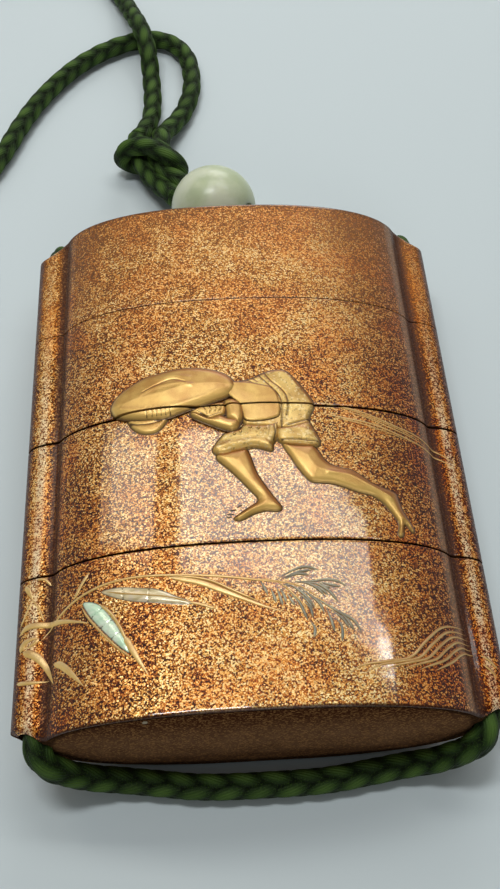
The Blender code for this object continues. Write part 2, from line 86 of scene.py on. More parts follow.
def link(name, mesh, *paints):
    made = bpy.data.objects.new(name, mesh)
    bpy.context.scene.collection.objects.link(made)
    for paint in paints:
        mesh.materials.append(paint)
    return made


def mesh_of(name, verts, faces):
    mesh = bpy.data.meshes.new(name)
    mesh.from_pydata([tuple(v) for v in verts], [], [tuple(int(i) for i in f) for f in faces])
    mesh.update()
    return mesh


def finish_piece(piece, slot, *nodes):
    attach(piece, "root")
    if nodes:
        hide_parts(*nodes)


# Node trees


def srgb(r, g, b):
    def linear(v):
        v /= 255
        return v / 12.92 if v <= 0.04045 else ((v + 0.055) / 1.055) ** 2.4

    return (linear(r), linear(g), linear(b), 1.0)


class Paint:
    """A material with a Principled shader, and short ways to add nodes to it."""

    def __init__(self, name, **sockets):
        self.material = bpy.data.materials.new(name)
        self.material.use_nodes = True
        self.tree = self.material.node_tree
        self.shader = self.tree.nodes["Principled BSDF"]
        for socket, value in sockets.items():
            self.set(socket.replace("_", " "), value)

    def wire(self, socket, value):
        if isinstance(value, bpy.types.NodeSocket):
            self.tree.links.new(value, socket)
        else:
            socket.default_value = value

    def set(self, socket, value):
        self.wire(self.shader.inputs[socket], value)

    def node(self, kind, inputs=(), out=0, **settings):
        made = self.tree.nodes.new("ShaderNode" + kind)
        for key, value in settings.items():
            setattr(made, key, value)
        for key, value in dict(inputs).items():
            self.wire(made.inputs[key], value)
        return made.outputs[out]

    def math(self, operation, a, b=0.0, c=0.0):
        return self.node("Math", {0: a, 1: b, 2: c}, operation=operation)

    def vector(self, operation, a, b=(0, 0, 0)):
        out = "Value" if operation in ("DOT_PRODUCT", "LENGTH") else "Vector"
        return self.node("VectorMath", {0: a, 1: b}, out, operation=operation)

    def times(self, a, b):
        return self.math("MULTIPLY", a, b)

    def mix(self, factor, a, b, blend="MIX"):
        # Inputs 6 and 7 and output 2 are the node's colours
        inputs = {0: factor, 6: a, 7: b}
        return self.node("Mix", inputs, 2, data_type="RGBA", blend_type=blend)

    def spread(self, value, low, high, to_low=0.0, to_high=1.0):
        """Smoothly maps low..high to to_low..to_high."""
        inputs = {0: value, 1: low, 2: high, 3: to_low, 4: to_high}
        return self.node("MapRange", inputs, interpolation_type="SMOOTHSTEP")

    def band(self, value, rise, fall):
        """1 from the end of the rise to the start of the fall, and 0 outside both."""
        return self.times(self.spread(value, *rise), self.spread(value, *fall, 1.0, 0.0))

    def ramp(self, value, stops):
        made = self.tree.nodes.new("ShaderNodeValToRGB")
        self.wire(made.inputs[0], value)
        line = made.color_ramp
        while len(line.elements) < len(stops):
            line.elements.new(0.5)
        for element, (place, colour) in zip(line.elements, stops):
            element.position = place
            element.color = colour
        return made.outputs[0]

    def place_mm(self):
        """The place on the object, in millimetres."""
        return self.vector("MULTIPLY", self.node("TexCoord", out="Object"), (1000, 1000, 1000))

    def noise(self, place, scale, detail=2.0, rough=0.5):
        inputs = {"Vector": place, "Scale": scale, "Detail": detail, "Roughness": rough}
        return self.node("TexNoise", inputs)

    def cells(self, place, scale, out):
        return self.node("TexVoronoi", {"Vector": place, "Scale": scale}, out)

    def split(self, vector, axis):
        return self.node("SeparateXYZ", {0: vector}, axis)

    def edge(self):
        """The relief's edge mark for painted shade: 0 at a shape's foot and higher further in."""
        return self.node("Attribute", out=2, attribute_name="edge")

    def bump(self, height, strength, distance):
        inputs = {"Height": height, "Strength": strength, "Distance": distance}
        return self.node("Bump", inputs)

    def chip(self, place):
        """A small chip at the base's front edge, left of the middle."""
        away = self.vector("SUBTRACT", place, CHIP_PLACE)
        away = self.vector("LENGTH", self.vector("MULTIPLY", away, (1.0, 0.7, 0.7)))
        rough = self.math("MULTIPLY_ADD", self.noise(place, 4.0), 0.5, away)
        return self.spread(rough, 0.52, 0.62, 1.0, 0.0)

    def tilted(self, random, amount):
        """The surface normal, leaned by a random vector of the cell."""
        lean = self.vector("SUBTRACT", random, (0.5, 0.5, 0.5))
        lean = self.vector("MULTIPLY", lean, (amount, amount, amount))
        normal = self.node("NewGeometry", out="Normal")
        return self.vector("NORMALIZE", self.vector("ADD", normal, lean))


def flake_lacquer():
    """Gold flakes packed over orange-brown lacquer, under a clear glossy coat."""
    p = Paint("gold_flake_lacquer", Metallic=0.3, Coat_Roughness=0.08, Coat_IOR=1.5)
    place = p.place_mm()
    right = p.split(place, "X")
    across = p.math("ABSOLUTE", right)
    random = p.cells(place, 5.4, "Color")
    share = p.split(random, "X")
    flake = p.spread(p.cells(place, 5.4, "Distance"), 0.2, 0.62, 1.0, 0.0)
    fine = p.noise(place, 5.4, 2.0, 0.6)
    patch = p.noise(place, 0.16, 3.0, 0.6)
    amount = p.math("MULTIPLY_ADD", share, 0.46, p.times(fine, 0.44))
    amount = p.math("MULTIPLY_ADD", flake, 0.16, amount)
    amount = p.math("ADD", amount, p.math("MULTIPLY_ADD", patch, 0.30, -0.165))
    # Painted shade: darker flakes towards the sides, more so on the right, where the face curves
    # away from the light. Darker towards the lid. Painted light: paler flakes on the runners'
    # crowns and low in the middle
    side = p.spread(right, 13.0, 24.5, 0.0, 0.16)
    side = p.math("ADD", side, p.spread(right, -15.0, -24.5, 0.0, 0.08))
    along = p.split(place, "Y")
    top = p.spread(along, 28.0, 39.0, 0.0, 0.09)
    # Painted highlight on the runners' crowns
    crown = p.band(across, (26.3, 27.2), (28.3, 29.1))
    amount = p.math("SUBTRACT", p.math("SUBTRACT", amount, side), top)
    amount = p.math("MULTIPLY_ADD", crown, 0.16, amount)
    # Painted light low in the middle of the face
    middle = p.spread(right, -12.0, -4.0, -0.6, 1.0)
    middle = p.times(middle, p.spread(right, 9.0, 18.0, 1.0, 0.0))
    painted_light_low_middle = p.times(p.spread(along, -23.0, -30.0), middle)
    amount = p.math("MULTIPLY_ADD", painted_light_low_middle, 0.045, amount)
    colour = p.ramp(
        amount,
        [
            (0.32, srgb(54, 20, 4)),
            (0.41, srgb(136, 66, 10)),
            (0.50, srgb(198, 126, 42)),
            (0.60, srgb(230, 180, 92)),
            (0.74, srgb(252, 230, 172)),
        ],
    )
    # Warmer clouds, warmer painted shade towards the sides, and a calmer colour towards the lid
    warm = p.spread(p.noise(p.vector("ADD", place, (40, 0, 0)), 0.13, 2.0), 0.42, 0.62)
    warm = p.math("ADD", p.times(warm, 0.55), p.times(side, 3.0))
    colour = p.mix(warm, colour, srgb(255, 204, 140), "MULTIPLY")
    calm = p.spread(along, 2.0, 38.0, 0.0, 0.34)
    colour = p.mix(calm, colour, srgb(186, 122, 56))
    # The runners: a painted highlight along the ridge, a painted sheen band near the right edge,
    # and painted shade in the groove and on the outer edge
    # Painted highlight along the ridge, in patches, fading towards the lid
    ridge = p.band(across, (26.8, 27.5), (27.8, 28.5))
    ridge_highlight_patches = p.spread(p.noise(place, 0.35, 2.0), 0.38, 0.58, 0.5, 1.0)
    ridge_highlight_patches = p.times(ridge_highlight_patches, p.spread(along, 0.0, 26.0, 1.0, 0.0))
    glint = p.spread(amount, 0.42, 0.60, 0.0, 0.85)
    ridge_highlight = p.times(p.times(ridge, ridge_highlight_patches), glint)
    colour = p.mix(ridge_highlight, colour, srgb(250, 228, 186))
    # Painted sheen: a greyish band near the face's right edge
    right_edge_sheen = p.band(right, (23.2, 24.2), (24.6, 25.2))
    colour = p.mix(p.times(right_edge_sheen, 0.6), colour, srgb(142, 108, 76))
    # Painted shade in the groove between body and runner
    groove_shade = p.band(across, (24.3, 25.0), (25.7, 26.7))
    groove_shade_colour = p.mix(fine, srgb(44, 24, 18), srgb(84, 52, 38))
    colour = p.mix(p.times(groove_shade, 0.85), colour, groove_shade_colour)
    # Painted shade on the runners' outer edge
    outer = p.spread(across, 28.8, 29.6, 0.0, 0.85)
    colour = p.mix(outer, colour, srgb(66, 30, 24))
    # Dark lines at the base's and the lid's edge
    foot = p.spread(along, -39.12, -38.75, 0.9, 0.0)
    head = p.spread(along, 38.2, 39.1, 0.0, 0.6)
    colour = p.mix(p.math("ADD", foot, head), colour, srgb(60, 28, 12))
    colour = p.mix(p.chip(place), colour, srgb(176, 164, 140))
    p.set("Base Color", colour)
    # The coat is thin from the grooves outwards, less so on the ridges
    bare = p.math("MAXIMUM", p.spread(across, 22.5, 25.0, 0.0, 0.8), outer)
    bare = p.times(bare, p.math("SUBTRACT", 1.0, p.times(ridge, 0.7)))
    p.set("Coat Weight", p.math("SUBTRACT", 1.0, bare))
    p.set("Specular IOR Level", 0.12)
    p.set("Roughness", p.spread(share, 0.0, 1.0, 0.45, 0.32))
    p.set("Normal", p.tilted(random, 0.34))
    p.set("Coat Normal", p.bump(p.noise(place, 0.35, 1.0), 0.05, 0.0004))
    return p.material


def dark_lacquer():
    """The plainer lacquer of the ends and insides, with fine sparse gold powder, and painted shade
    towards the top.
    """
    p = Paint("dark_lacquer", Metallic=0.0)
    p.set("Specular IOR Level", 0.0)
    place = p.place_mm()
    random = p.cells(place, 5.0, "Color")
    share = p.split(random, "X")
    cloud = p.noise(place, 0.5, 3.0)
    # Painted shade: the ground darkens towards the top
    upper = p.spread(p.split(place, "Z"), 9.0, 18.0)
    ground = p.mix(cloud, srgb(88, 60, 42), srgb(132, 97, 69))
    ground = p.mix(p.times(upper, 0.9), ground, srgb(66, 33, 17))
    specks = p.spread(share, 0.55, 0.95)
    colour = p.mix(p.times(specks, 0.5), ground, srgb(186, 136, 84))
    # Painted shade: a dark rim towards the body's outline, on the upper half
    wide = p.math("DIVIDE", p.math("ABSOLUTE", p.split(place, "X")), BODY_WIDTH / 2 / MM)
    high = p.math("SUBTRACT", p.split(place, "Z"), MID_Z / MM)
    high = p.math("DIVIDE", high, BODY_THICKNESS / 2 / MM)
    oval = p.math("ADD", p.math("POWER", wide, OVAL_POWER), p.math("POWER", high, OVAL_POWER))
    upper_rim_shade = p.spread(oval, 0.84, 0.93, 0.0, 0.7)
    colour = p.mix(upper_rim_shade, colour, srgb(22, 10, 5))
    colour = p.mix(p.chip(place), colour, srgb(176, 164, 140))
    p.set("Base Color", colour)
    p.set("Roughness", 0.5)
    p.set("Normal", p.tilted(random, 0.12))
    return p.material


def relief_gold(
    name="relief_gold", light=(222, 184, 102), deep=(182, 132, 60), speckle=0.0, shine_and_painted_light=1.0
):
    """Burnished gold powder on raised lacquer, with painted shade where it faces right and up, a
    painted highlight where it faces left and down, and painted shade at its foot.
    """
    p = Paint(name, Metallic=0.4 * shine_and_painted_light, Coat_Weight=0.25 * shine_and_painted_light, Coat_Roughness=0.22)
    place = p.place_mm()
    low = p.edge()
    powder = p.noise(place, 14.0, 2.0)
    cloud = p.noise(place, 0.45, 2.0)
    amount = p.math("MULTIPLY_ADD", powder, 0.45, p.times(cloud, 0.7))
    colour = p.mix(p.spread(amount, 0.35, 0.8), srgb(*deep), srgb(*light))
    # Painted shade where the surface faces right and up, painted highlight where it faces left and
    # down
    lean = p.vector("DOT_PRODUCT", p.node("NewGeometry", out="Normal"), (0.4, 0.9, 0.0))
    colour = p.mix(p.spread(lean, 0.04, 0.36, 0.0, 0.88 * shine_and_painted_light), colour, srgb(154, 92, 34))
    colour = p.mix(p.spread(lean, -0.08, -0.4, 0.0, 0.8 * shine_and_painted_light), colour, srgb(252, 208, 116))
    if speckle:
        random = p.split(p.cells(place, 4.2, "Color"), "X")
        dark = p.times(p.spread(random, 0.88, 0.94), speckle)
        colour = p.mix(dark, colour, srgb(70, 50, 28))
        pale = p.times(p.spread(random, 0.22, 0.08), speckle)
        colour = p.mix(pale, colour, srgb(236, 222, 176))
    # Painted shade at the shapes' foot and in their fine cut lines
    edge = p.spread(low, 0.06, 0.36, 0.9, 0.0)
    colour = p.mix(edge, colour, srgb(62, 34, 14))
    p.set("Base Color", colour)
    p.set("Roughness", p.spread(powder, 0.3, 0.7, 0.28, 0.42))
    p.set("Normal", p.bump(powder, 0.18, 0.0001))
    return p.material


def shell_inlay(name, pale, deep):
    """Thin shell with a shifting green and pink play of colour."""
    p = Paint(name, Metallic=0.1, Coat_Weight=0.6, Coat_Roughness=0.15)
    place = p.place_mm()
    bands = p.noise(p.vector("MULTIPLY", place, (0.5, 1.4, 0.5)), 1.2, 3.0)
    colour = p.mix(p.spread(bands, 0.35, 0.65), srgb(*deep), srgb(*pale))
    blush = p.spread(p.noise(place, 0.9, 1.0), 0.5, 0.68, 0.0, 0.45)
    colour = p.mix(blush, colour, srgb(222, 206, 188))
    # Painted shade at the shape's foot
    low = p.edge()
    colour = p.mix(p.spread(low, 0.0, 0.22, 0.9, 0.0), colour, srgb(58, 44, 26))
    p.set("Base Color", colour)
    p.set("Roughness", 0.22)
    return p.material


def silk():
    """Green silk in plump stitches: painted lighter on top and painted dark in the shade between,
    with fine threads.
    """
    p = Paint("green_silk", Roughness=0.6, Sheen_Weight=0.05, Sheen_Roughness=0.4)
    p.set("Sheen Tint", srgb(160, 190, 90))
    p.set("Specular IOR Level", 0.15)
    braid = p.node("Attribute", out="Color", attribute_name="braid")
    across = p.split(braid, "X")
    rise = p.split(braid, "Y")
    tone = p.split(braid, "Z")
    place = p.place_mm()
    # Painted light and shade: the stitches lighter on top and darker down between them
    colour = p.ramp(
        rise,
        [
            (0.0, srgb(2, 5, 1)),
            (0.5, srgb(12, 24, 6)),
            (0.8, srgb(39, 61, 22)),
            (1.0, srgb(76, 104, 44)),
        ],
    )
    colour = p.mix(p.spread(tone, 0.3, 1.0, 0.0, 0.5), colour, srgb(12, 26, 6))
    fuzz = p.noise(place, 6.0, 2.0)
    colour = p.mix(p.spread(fuzz, 0.5, 0.75, 0.0, 0.25), colour, srgb(92, 128, 48))
    p.set("Base Color", colour)
    threads = p.math("SINE", p.times(across, 26.0))
    height = p.math("MULTIPLY_ADD", fuzz, 0.6, threads)
    p.set("Normal", p.bump(height, 0.5, 0.00008))
    return p.material


def jade():
    """Pale green stone that lets soft light through."""
    p = Paint("pale_green_stone", Roughness=0.3, Subsurface_Weight=0.6, Subsurface_Scale=0.004)
    p.set("Subsurface Radius", (1.0, 1.0, 0.75))
    p.set("Transmission Weight", 0.12)
    p.set("IOR", 1.55)
    place = p.place_mm()
    cloud = p.noise(place, 0.16, 4.0, 0.55)
    colour = p.mix(p.spread(cloud, 0.35, 0.65), srgb(194, 206, 170), srgb(222, 228, 204))
    p.set("Base Color", colour)
    p.set("Normal", p.bump(p.noise(place, 1.5, 2.0), 0.04, 0.0002))
    return p.material


def floor_paint():
    p = Paint("pale_floor", Roughness=0.8)
    p.set("Specular IOR Level", 0.15)
    p.set("Base Color", srgb(205, 217, 221))
    return p.material


# Camera


def build_camera():
    data = bpy.data.cameras.new("camera")
    data.lens = CAMERA_LENS
    data.sensor_width = SENSOR
    data.clip_start, data.clip_end = 0.005, 10.0
    camera = bpy.data.objects.new("camera", data)
    camera.location = CAMERA_PLACE
    camera.rotation_euler = Euler([math.radians(a) for a in CAMERA_TURN])
    bpy.context.scene.collection.objects.link(camera)
    bpy.context.scene.camera = camera


build_camera()


# Cord routes, in millimetres, as in the CAD

BEAD_ACROSS = BEAD_AXIS.cross(Vector((0, 0, 1))).normalized()
STRAND_SIDE = CORD_R + STRAND_GAP / 2


def at_bead(along, side):
    return BEAD_CENTRE + BEAD_AXIS * along + BEAD_ACROSS * side * STRAND_SIDE


def mm(*points):
    return [Vector(p) * MM for p in points]


LEFT_TOP = mm(
    (1.5, 43.3, 9), (2.4, 42.1, 7.8), (2, 41.4, 6.1), (0.2, 41.3, 4.5), (-2.9, 41.4, 3.4),
    (-7.2, 41.5, 2.6), (-12.6, 41.7, 2.6), (-17.6, 41.8, 3.1), (-21.6, 41.9, 4.4),
    (-24.4, 41, 5.4), (-26.25, 40.5, 7.1), (-26.9, 39.45, 8.95),
)
UNDER_BASE = mm(
    (-26.85, -38.3, 9.65), (-26.75, -39.4, 9.4), (-26.2, -40.4, 8.75), (-25.1, -41, 7.6),
    (-23.3, -41.15, 5.6), (-21, -41.2, 3.7), (-17.3, -41.3, 2.2), (-13, -41.8, 1.8),
    (-8, -42.5, 1.8), (0, -42.7, 1.8), (8, -42.5, 1.8), (13.4, -41.8, 1.8), (17.8, -41.3, 2.2),
    (21.2, -41.3, 3.6), (23.5, -41.2, 5.5), (25.2, -41, 7.5), (26.25, -40.4, 8.7),
    (26.75, -39.4, 9.4), (26.85, -38.3, 9.65),
)
RIGHT_TOP = mm(
    (26.9, 39.45, 8.95), (26.3, 40.5, 7.2), (24.8, 41.1, 5.6), (22.6, 41.7, 4.4), (19, 42.1, 3.7),
    (15, 42.6, 3.3), (11.6, 43.2, 4.6), (8.6, 44, 6.9), (5.9, 45, 8.6),
)
LOOP = mm(
    (-15.4, 72.6, 3.6), (-14.1, 75.9, 2.6), (-13, 80, 1.8), (-12.6, 85, 1.8), (-12.8, 91, 2.4),
    (-13.3, 96.4, 4.6), (-14.5, 101.4, 5.7), (-16.1, 107.4, 4.4), (-18.2, 115.1, 2.5),
    (-21.2, 121.8, 1.8), (-26, 127.6, 1.8), (-32.6, 130.2, 1.8), (-42, 129, 1.8), (-50, 121, 1.8),
    (-54.5, 108, 1.8), (-56.5, 92, 1.8), (-56, 78, 1.8), (-53.4, 68.6, 1.8), (-48.4, 64, 1.8),
    (-43, 65.6, 1.8), (-39.6, 71.6, 1.8), (-37.2, 78.2, 1.8), (-34.2, 85, 1.8), (-30.6, 91, 1.8),
    (-26, 96.6, 1.8), (-20.6, 100.8, 1.8), (-14.6, 103.2, 1.8), (-9.8, 102.6, 1.8),
    (-6.4, 98.8, 1.8), (-5.2, 93, 1.8), (-5.4, 87, 1.8), (-7.2, 81, 1.8), (-9.4, 76.6, 2.6),
    (-11, 73.4, 3.6),
)
# The knot: both strands run through it side by side, and one turn wraps them
KNOT_TURNS = (
    mm(
        (-15.4, 72.6, 3.6), (-15.5, 70.4, 3.8), (-15.2, 68, 3.8), (-14.3, 65.4, 3.7),
        (-12.9, 62.7, 3.6), (-11.2, 60, 4), (-9.9, 58, 4.5), (-8.7, 56.1, 4.9),
    ),
    mm(
        (-11, 73.4, 3.6), (-11, 71.2, 4.2), (-11.5, 69.1, 4.6), (-11.9, 66.4, 4.6),
        (-10.9, 63.7, 4.8), (-9.2, 61.4, 4.8), (-7.2, 59.6, 4.8), (-5.7, 58.4, 4.9),
    ),
    mm(
        (-12.4, 65.2, 2.3), (-14.5, 67.1, 1.9), (-16.7, 67.9, 2.3), (-17.9, 67.7, 3.7),
        (-16.9, 67.7, 5.6), (-14.2, 67, 6.9), (-11.4, 65.3, 7.3), (-9, 63.6, 6.4),
        (-7.9, 63.1, 4.4), (-9.1, 62.9, 2.6), (-11.4, 64.4, 1.9), (-13.4, 66.1, 1.8),
    ),
)


def lengths_along(path):
    """How far along the path each of its points lies."""
    return np.concatenate([[0], np.cumsum(np.linalg.norm(np.diff(path, axis=0), axis=1))])


def smooth_line(points, step):
    """An open smooth curve through the points, with points about a step apart."""
    base = np.array([tuple(p) for p in points], float)
    padded = np.vstack([2 * base[0] - base[1], base, 2 * base[-1] - base[-2]])
    fine = []
    for i in range(len(base) - 1):
        p0, p1, p2, p3 = padded[i : i + 4]
        k1 = np.linalg.norm(p2 - p1) ** 0.5
        k0, k2 = np.linalg.norm(p1 - p0) ** 0.5, np.linalg.norm(p3 - p2) ** 0.5
        m1 = ((p1 - p0) / k0 - (p2 - p0) / (k0 + k1) + (p2 - p1) / k1) * k1
        m2 = ((p2 - p1) / k1 - (p3 - p1) / (k1 + k2) + (p3 - p2) / k2) * k1
        for t in np.arange(0, 1, 0.04):
            fine.append(
                (2 * t**3 - 3 * t**2 + 1) * p1
                + (t**3 - 2 * t**2 + t) * m1
                + (3 * t**2 - 2 * t**3) * p2
                + (t**3 - t**2) * m2
            )
    fine = np.array(fine + [base[-1]])
    along = lengths_along(fine)
    at = np.linspace(0, along[-1], max(2, round(along[-1] / step) + 1))
    return np.stack([np.interp(at, along, fine[:, k]) for k in range(fine.shape[1])], axis=1)


def channel_points(side, end_y, inwards):
    return [Vector((side * CHANNEL_X, end_y + inwards * d, MID_Z)) for d in (0.006, 0.002)]


def case_cord_route():
    through = (KNOT_FACE, 0.004, 0.0, -0.004, -0.0072)
    left_in, right_in = channel_points(-1, LID_Y, -1), channel_points(1, LID_Y, -1)
    parts = (
        [at_bead(along, -1) for along in through] + LEFT_TOP + left_in[::-1],
        channel_points(-1, BASE_Y, 1) + UNDER_BASE + channel_points(1, BASE_Y, 1)[::-1],
        right_in + RIGHT_TOP + [at_bead(along, 1) for along in reversed(through)],
    )
    return np.vstack([smooth_line(part, PATH_STEP) for part in parts])


# The braid: four columns of slanted stitches round the cord, like ears of wheat

STITCH_PITCH = 0.0039
STITCH_LONG, STITCH_WIDE, STITCH_LEAN = 0.0027, 0.00130, math.radians(18)
COLUMNS = 4
BRAID_CORE, BRAID_RISE = 0.00122, 0.00052
BRAID_SIDES, BRAID_STEP = 30, 0.00024


def stitches(s, w):
    """Rise, place across the stitch and tone at s along the cord and angle w around it."""
    shape = np.broadcast(s, w).shape
    best, across, tone = np.full(shape, -9.0), np.zeros(shape), np.zeros(shape)
    c, n = math.cos(STITCH_LEAN), math.sin(STITCH_LEAN)
    for column in range(COLUMNS):
        lean = 1 if column % 2 else -1
        middle = (column + 0.5) * 2 * math.pi / COLUMNS
        side = ((w - middle + math.pi) % (2 * math.pi) - math.pi) * (BRAID_CORE + BRAID_RISE / 2)
        start = (column % 2) * STITCH_PITCH / 2
        first = np.floor((s - start) / STITCH_PITCH)
        for k in (-1, 0, 1, 2):
            at = s - start - (first + k) * STITCH_PITCH
            a, b = at * c + lean * side * n, side * c - lean * at * n
            rise = 1 - (a / STITCH_LONG) ** 2 - (b / STITCH_WIDE) ** 2
            win = rise > best
            # A value from 0 to 1 that differs from stitch to stitch
            mark = np.modf(np.abs(np.sin((first + k) * 12.9898 + column * 78.233)) * 43758.5)[0]
            best = np.where(win, rise, best)
            across = np.where(win, b / STITCH_WIDE, across)
            tone = np.where(win, mark, tone)
    return np.sqrt(np.clip(best, 0, 1)), across, tone


def frames_along(path):
    """Two directions across the path at each point, carried along it without twist."""
    tangent = np.gradient(path, axis=0)
    tangent /= np.linalg.norm(tangent, axis=1)[:, None]
    side = np.cross(tangent[0], (0, 0, 1))
    side /= np.linalg.norm(side)
    sides = [side]
    for k in range(1, len(path)):
        side = side - tangent[k] * (side @ tangent[k])
        side /= np.linalg.norm(side)
        sides.append(side)
    sides = np.array(sides)
    return sides, np.cross(sides, tangent)


def braided(path, turn):
    """Vertices, faces and the braid's attribute of a cord along the path."""
    sides = BRAID_SIDES
    along = lengths_along(path)
    s = np.linspace(0, along[-1], round(along[-1] / BRAID_STEP))
    line = np.stack([np.interp(s, along, path[:, k]) for k in range(3)], axis=1)
    across, up = frames_along(line)
    w = np.arange(sides) * 2 * math.pi / sides
    height, place, tone = stitches(s[:, None], (w + turn)[None, :])
    radius = (BRAID_CORE + BRAID_RISE * height)[..., None]
    ring = across[:, None] * np.cos(w)[None, :, None] + up[:, None] * np.sin(w)[None, :, None]
    verts = (line[:, None] + ring * radius).reshape(-1, 3)
    i, j = np.meshgrid(np.arange(len(s) - 1), np.arange(sides), indexing="ij")
    n = (j + 1) % sides
    faces = np.stack([i * sides + j, i * sides + n, (i + 1) * sides + n, (i + 1) * sides + j], -1)
    faces = [tuple(f) for f in faces.reshape(-1, 4)]
    count, last = len(verts), len(verts) - sides
    for k in range(sides):
        n = (k + 1) % sides
        faces.append((n, k, count))
        faces.append((last + k, last + n, count + 1))
    verts = np.vstack([verts, line[0], line[-1]])
    marks = np.stack([place.ravel(), height.ravel(), tone.ravel()], axis=1)
    marks = np.vstack([marks, [[0, 0, 0], [0, 0, 0]]])
    return verts, faces, marks


def braid_turn(path, place):
    """How far to turn the braid so that two rows of stitches show from the front there."""
    across, up = frames_along(path)
    near = np.argmin(np.linalg.norm(path - np.array(place) * MM, axis=1))
    ahead = np.array(CAMERA_PLACE) - path[near]
    return -math.atan2(ahead @ up[near], ahead @ across[near])


def joined(parts):
    """The vertices, faces and marks of all parts as one."""
    faces, start = [], 0
    for verts, part_faces, _ in parts:
        faces += [tuple(i + start for i in f) for f in part_faces]
        start += len(verts)
    verts, _, marks = zip(*parts)
    return np.vstack(verts), faces, np.concatenate(marks)


def cord_piece(name, parts, node):
    verts, faces, marks = joined(parts)
    mesh = mesh_of(name, verts, faces)
    mark = mesh.attributes.new("braid", "FLOAT_VECTOR", "POINT")
    mark.data.foreach_set("vector", marks.astype(np.float32).ravel())
    mesh.shade_smooth()
    piece = link(name, mesh, GREEN_SILK)
    finish_piece(piece, "cord_silk", node)
    return piece


GREEN_SILK = silk()


def build_cords():
    case_path = case_cord_route()
    turn = braid_turn(case_path, (0, -42.7, 1.8))
    case_cord = cord_piece("silk_cord_case", [braided(case_path, turn)], "cord_case")
    loop_path = smooth_line(LOOP, PATH_STEP)
    turn = braid_turn(loop_path, (-30.6, 91, 1.8))
    loop_cord = cord_piece("silk_cord_loop", [braided(loop_path, turn)], "cord_loop")
    turns = [braided(smooth_line(p, KNOT_STEP), 0.5 * k) for k, p in enumerate(KNOT_TURNS)]
    knot = cord_piece("silk_knot", turns, "cord_knot")
    return case_cord, case_path, loop_cord, loop_path, knot


def apply_modifiers(piece):
    graph = bpy.context.evaluated_depsgraph_get()
    made = bpy.data.meshes.new_from_object(piece.evaluated_get(graph))
    piece.modifiers.clear()
    piece.data = made


def cut(piece, tool, operation="DIFFERENCE"):
    step = piece.modifiers.new("cut", "BOOLEAN")
    step.object = tool
    step.operation = operation
    step.solver = "EXACT"


def remove(*items):
    for item in items:
        bpy.data.objects.remove(item, do_unlink=True)


def side_faces(rings, count):
    """The faces between neighbouring rings of count points each."""
    faces = []
    for start in range(0, (rings - 1) * count, count):
        for k in range(count):
            n = (k + 1) % count
            faces.append((start + k, start + count + k, start + count + n, start + n))
    return faces


def turn_outwards(mesh):
    work = bmesh.new()
    work.from_mesh(mesh)
    bmesh.ops.recalc_face_normals(work, faces=work.faces)
    work.to_mesh(mesh)
    work.free()


BORE_ARC_STEPS = 16


def build_bead():
    """A ball with one long bore for both strands, which flares where they come out."""
    work = bmesh.new()
    turn = Matrix((BEAD_ACROSS, BEAD_AXIS, BEAD_ACROSS.cross(BEAD_AXIS))).transposed().to_4x4()
    place = Matrix.Translation(BEAD_CENTRE) @ turn
    bmesh.ops.create_uvsphere(
        work, u_segments=96, v_segments=64, radius=BEAD_DIAMETER / 2,
        matrix=place @ Matrix.Rotation(math.radians(90), 4, "X"),
    )
    mesh = bpy.data.meshes.new("stone_bead")
    work.to_mesh(mesh)
    work.free()
    bead = link("stone_bead", mesh, jade())
    outline = []
    for side in (1, -1):
        for k in range(BORE_ARC_STEPS + 1):
            angle = -math.pi / 2 + math.pi * k / BORE_ARC_STEPS
            x = side * (STRAND_SIDE + CHANNEL_R * math.cos(angle))
            outline.append((x, side * CHANNEL_R * math.sin(angle)))
    sections = []
    for along, wide in ((-1, 1), (0.72, 1), (0.82, 1.12), (1, 1.5)):
        y = along * BEAD_DIAMETER / 2
        sections.append([place @ Vector((x * wide, y, z * wide)) for x, z in outline])
    verts = [v for ring in sections for v in ring]
    count = len(outline)
    faces = [tuple(range(count)), tuple(range(len(verts) - 1, len(verts) - count - 1, -1))]
    faces += side_faces(len(sections), count)
    tool = link("bore_tool", mesh_of("bore_tool", verts, faces))
    turn_outwards(tool.data)
    cut(bead, tool)
    apply_modifiers(bead)
    remove(tool)
    bead.data.shade_smooth()
    bead.data.set_sharp_from_angle(angle=math.radians(50))
    finish_piece(bead, "bead_stone", "bead")
    return bead


CASE_CORD, CASE_PATH, LOOP_CORD, LOOP_PATH, KNOT = build_cords()
BEAD = build_bead()


# The case's outline across, in metres from the middle of the section

OUTLINE_POINTS, GROOVE_SOFTNESS = 720, 0.00030
BODY_SAMPLES, RUNNER_SAMPLES = 4000, 800
HOLLOW_POINTS, CHANNEL_POINTS = 160, 48
SEAM_EDGE_ROUND = 0.00012


def oval_z(x, half_width, half_thickness):
    share = np.minimum(1.0, np.abs(x) / half_width)
    return half_thickness * (1 - share**OVAL_POWER) ** (1 / OVAL_POWER)


def runner_z(x, reach, half_thickness):
    share = np.clip((np.abs(x) - RUNNER_ROOT) / reach, 0.0, 1.0)
    return half_thickness * np.sqrt(1 - share**2)


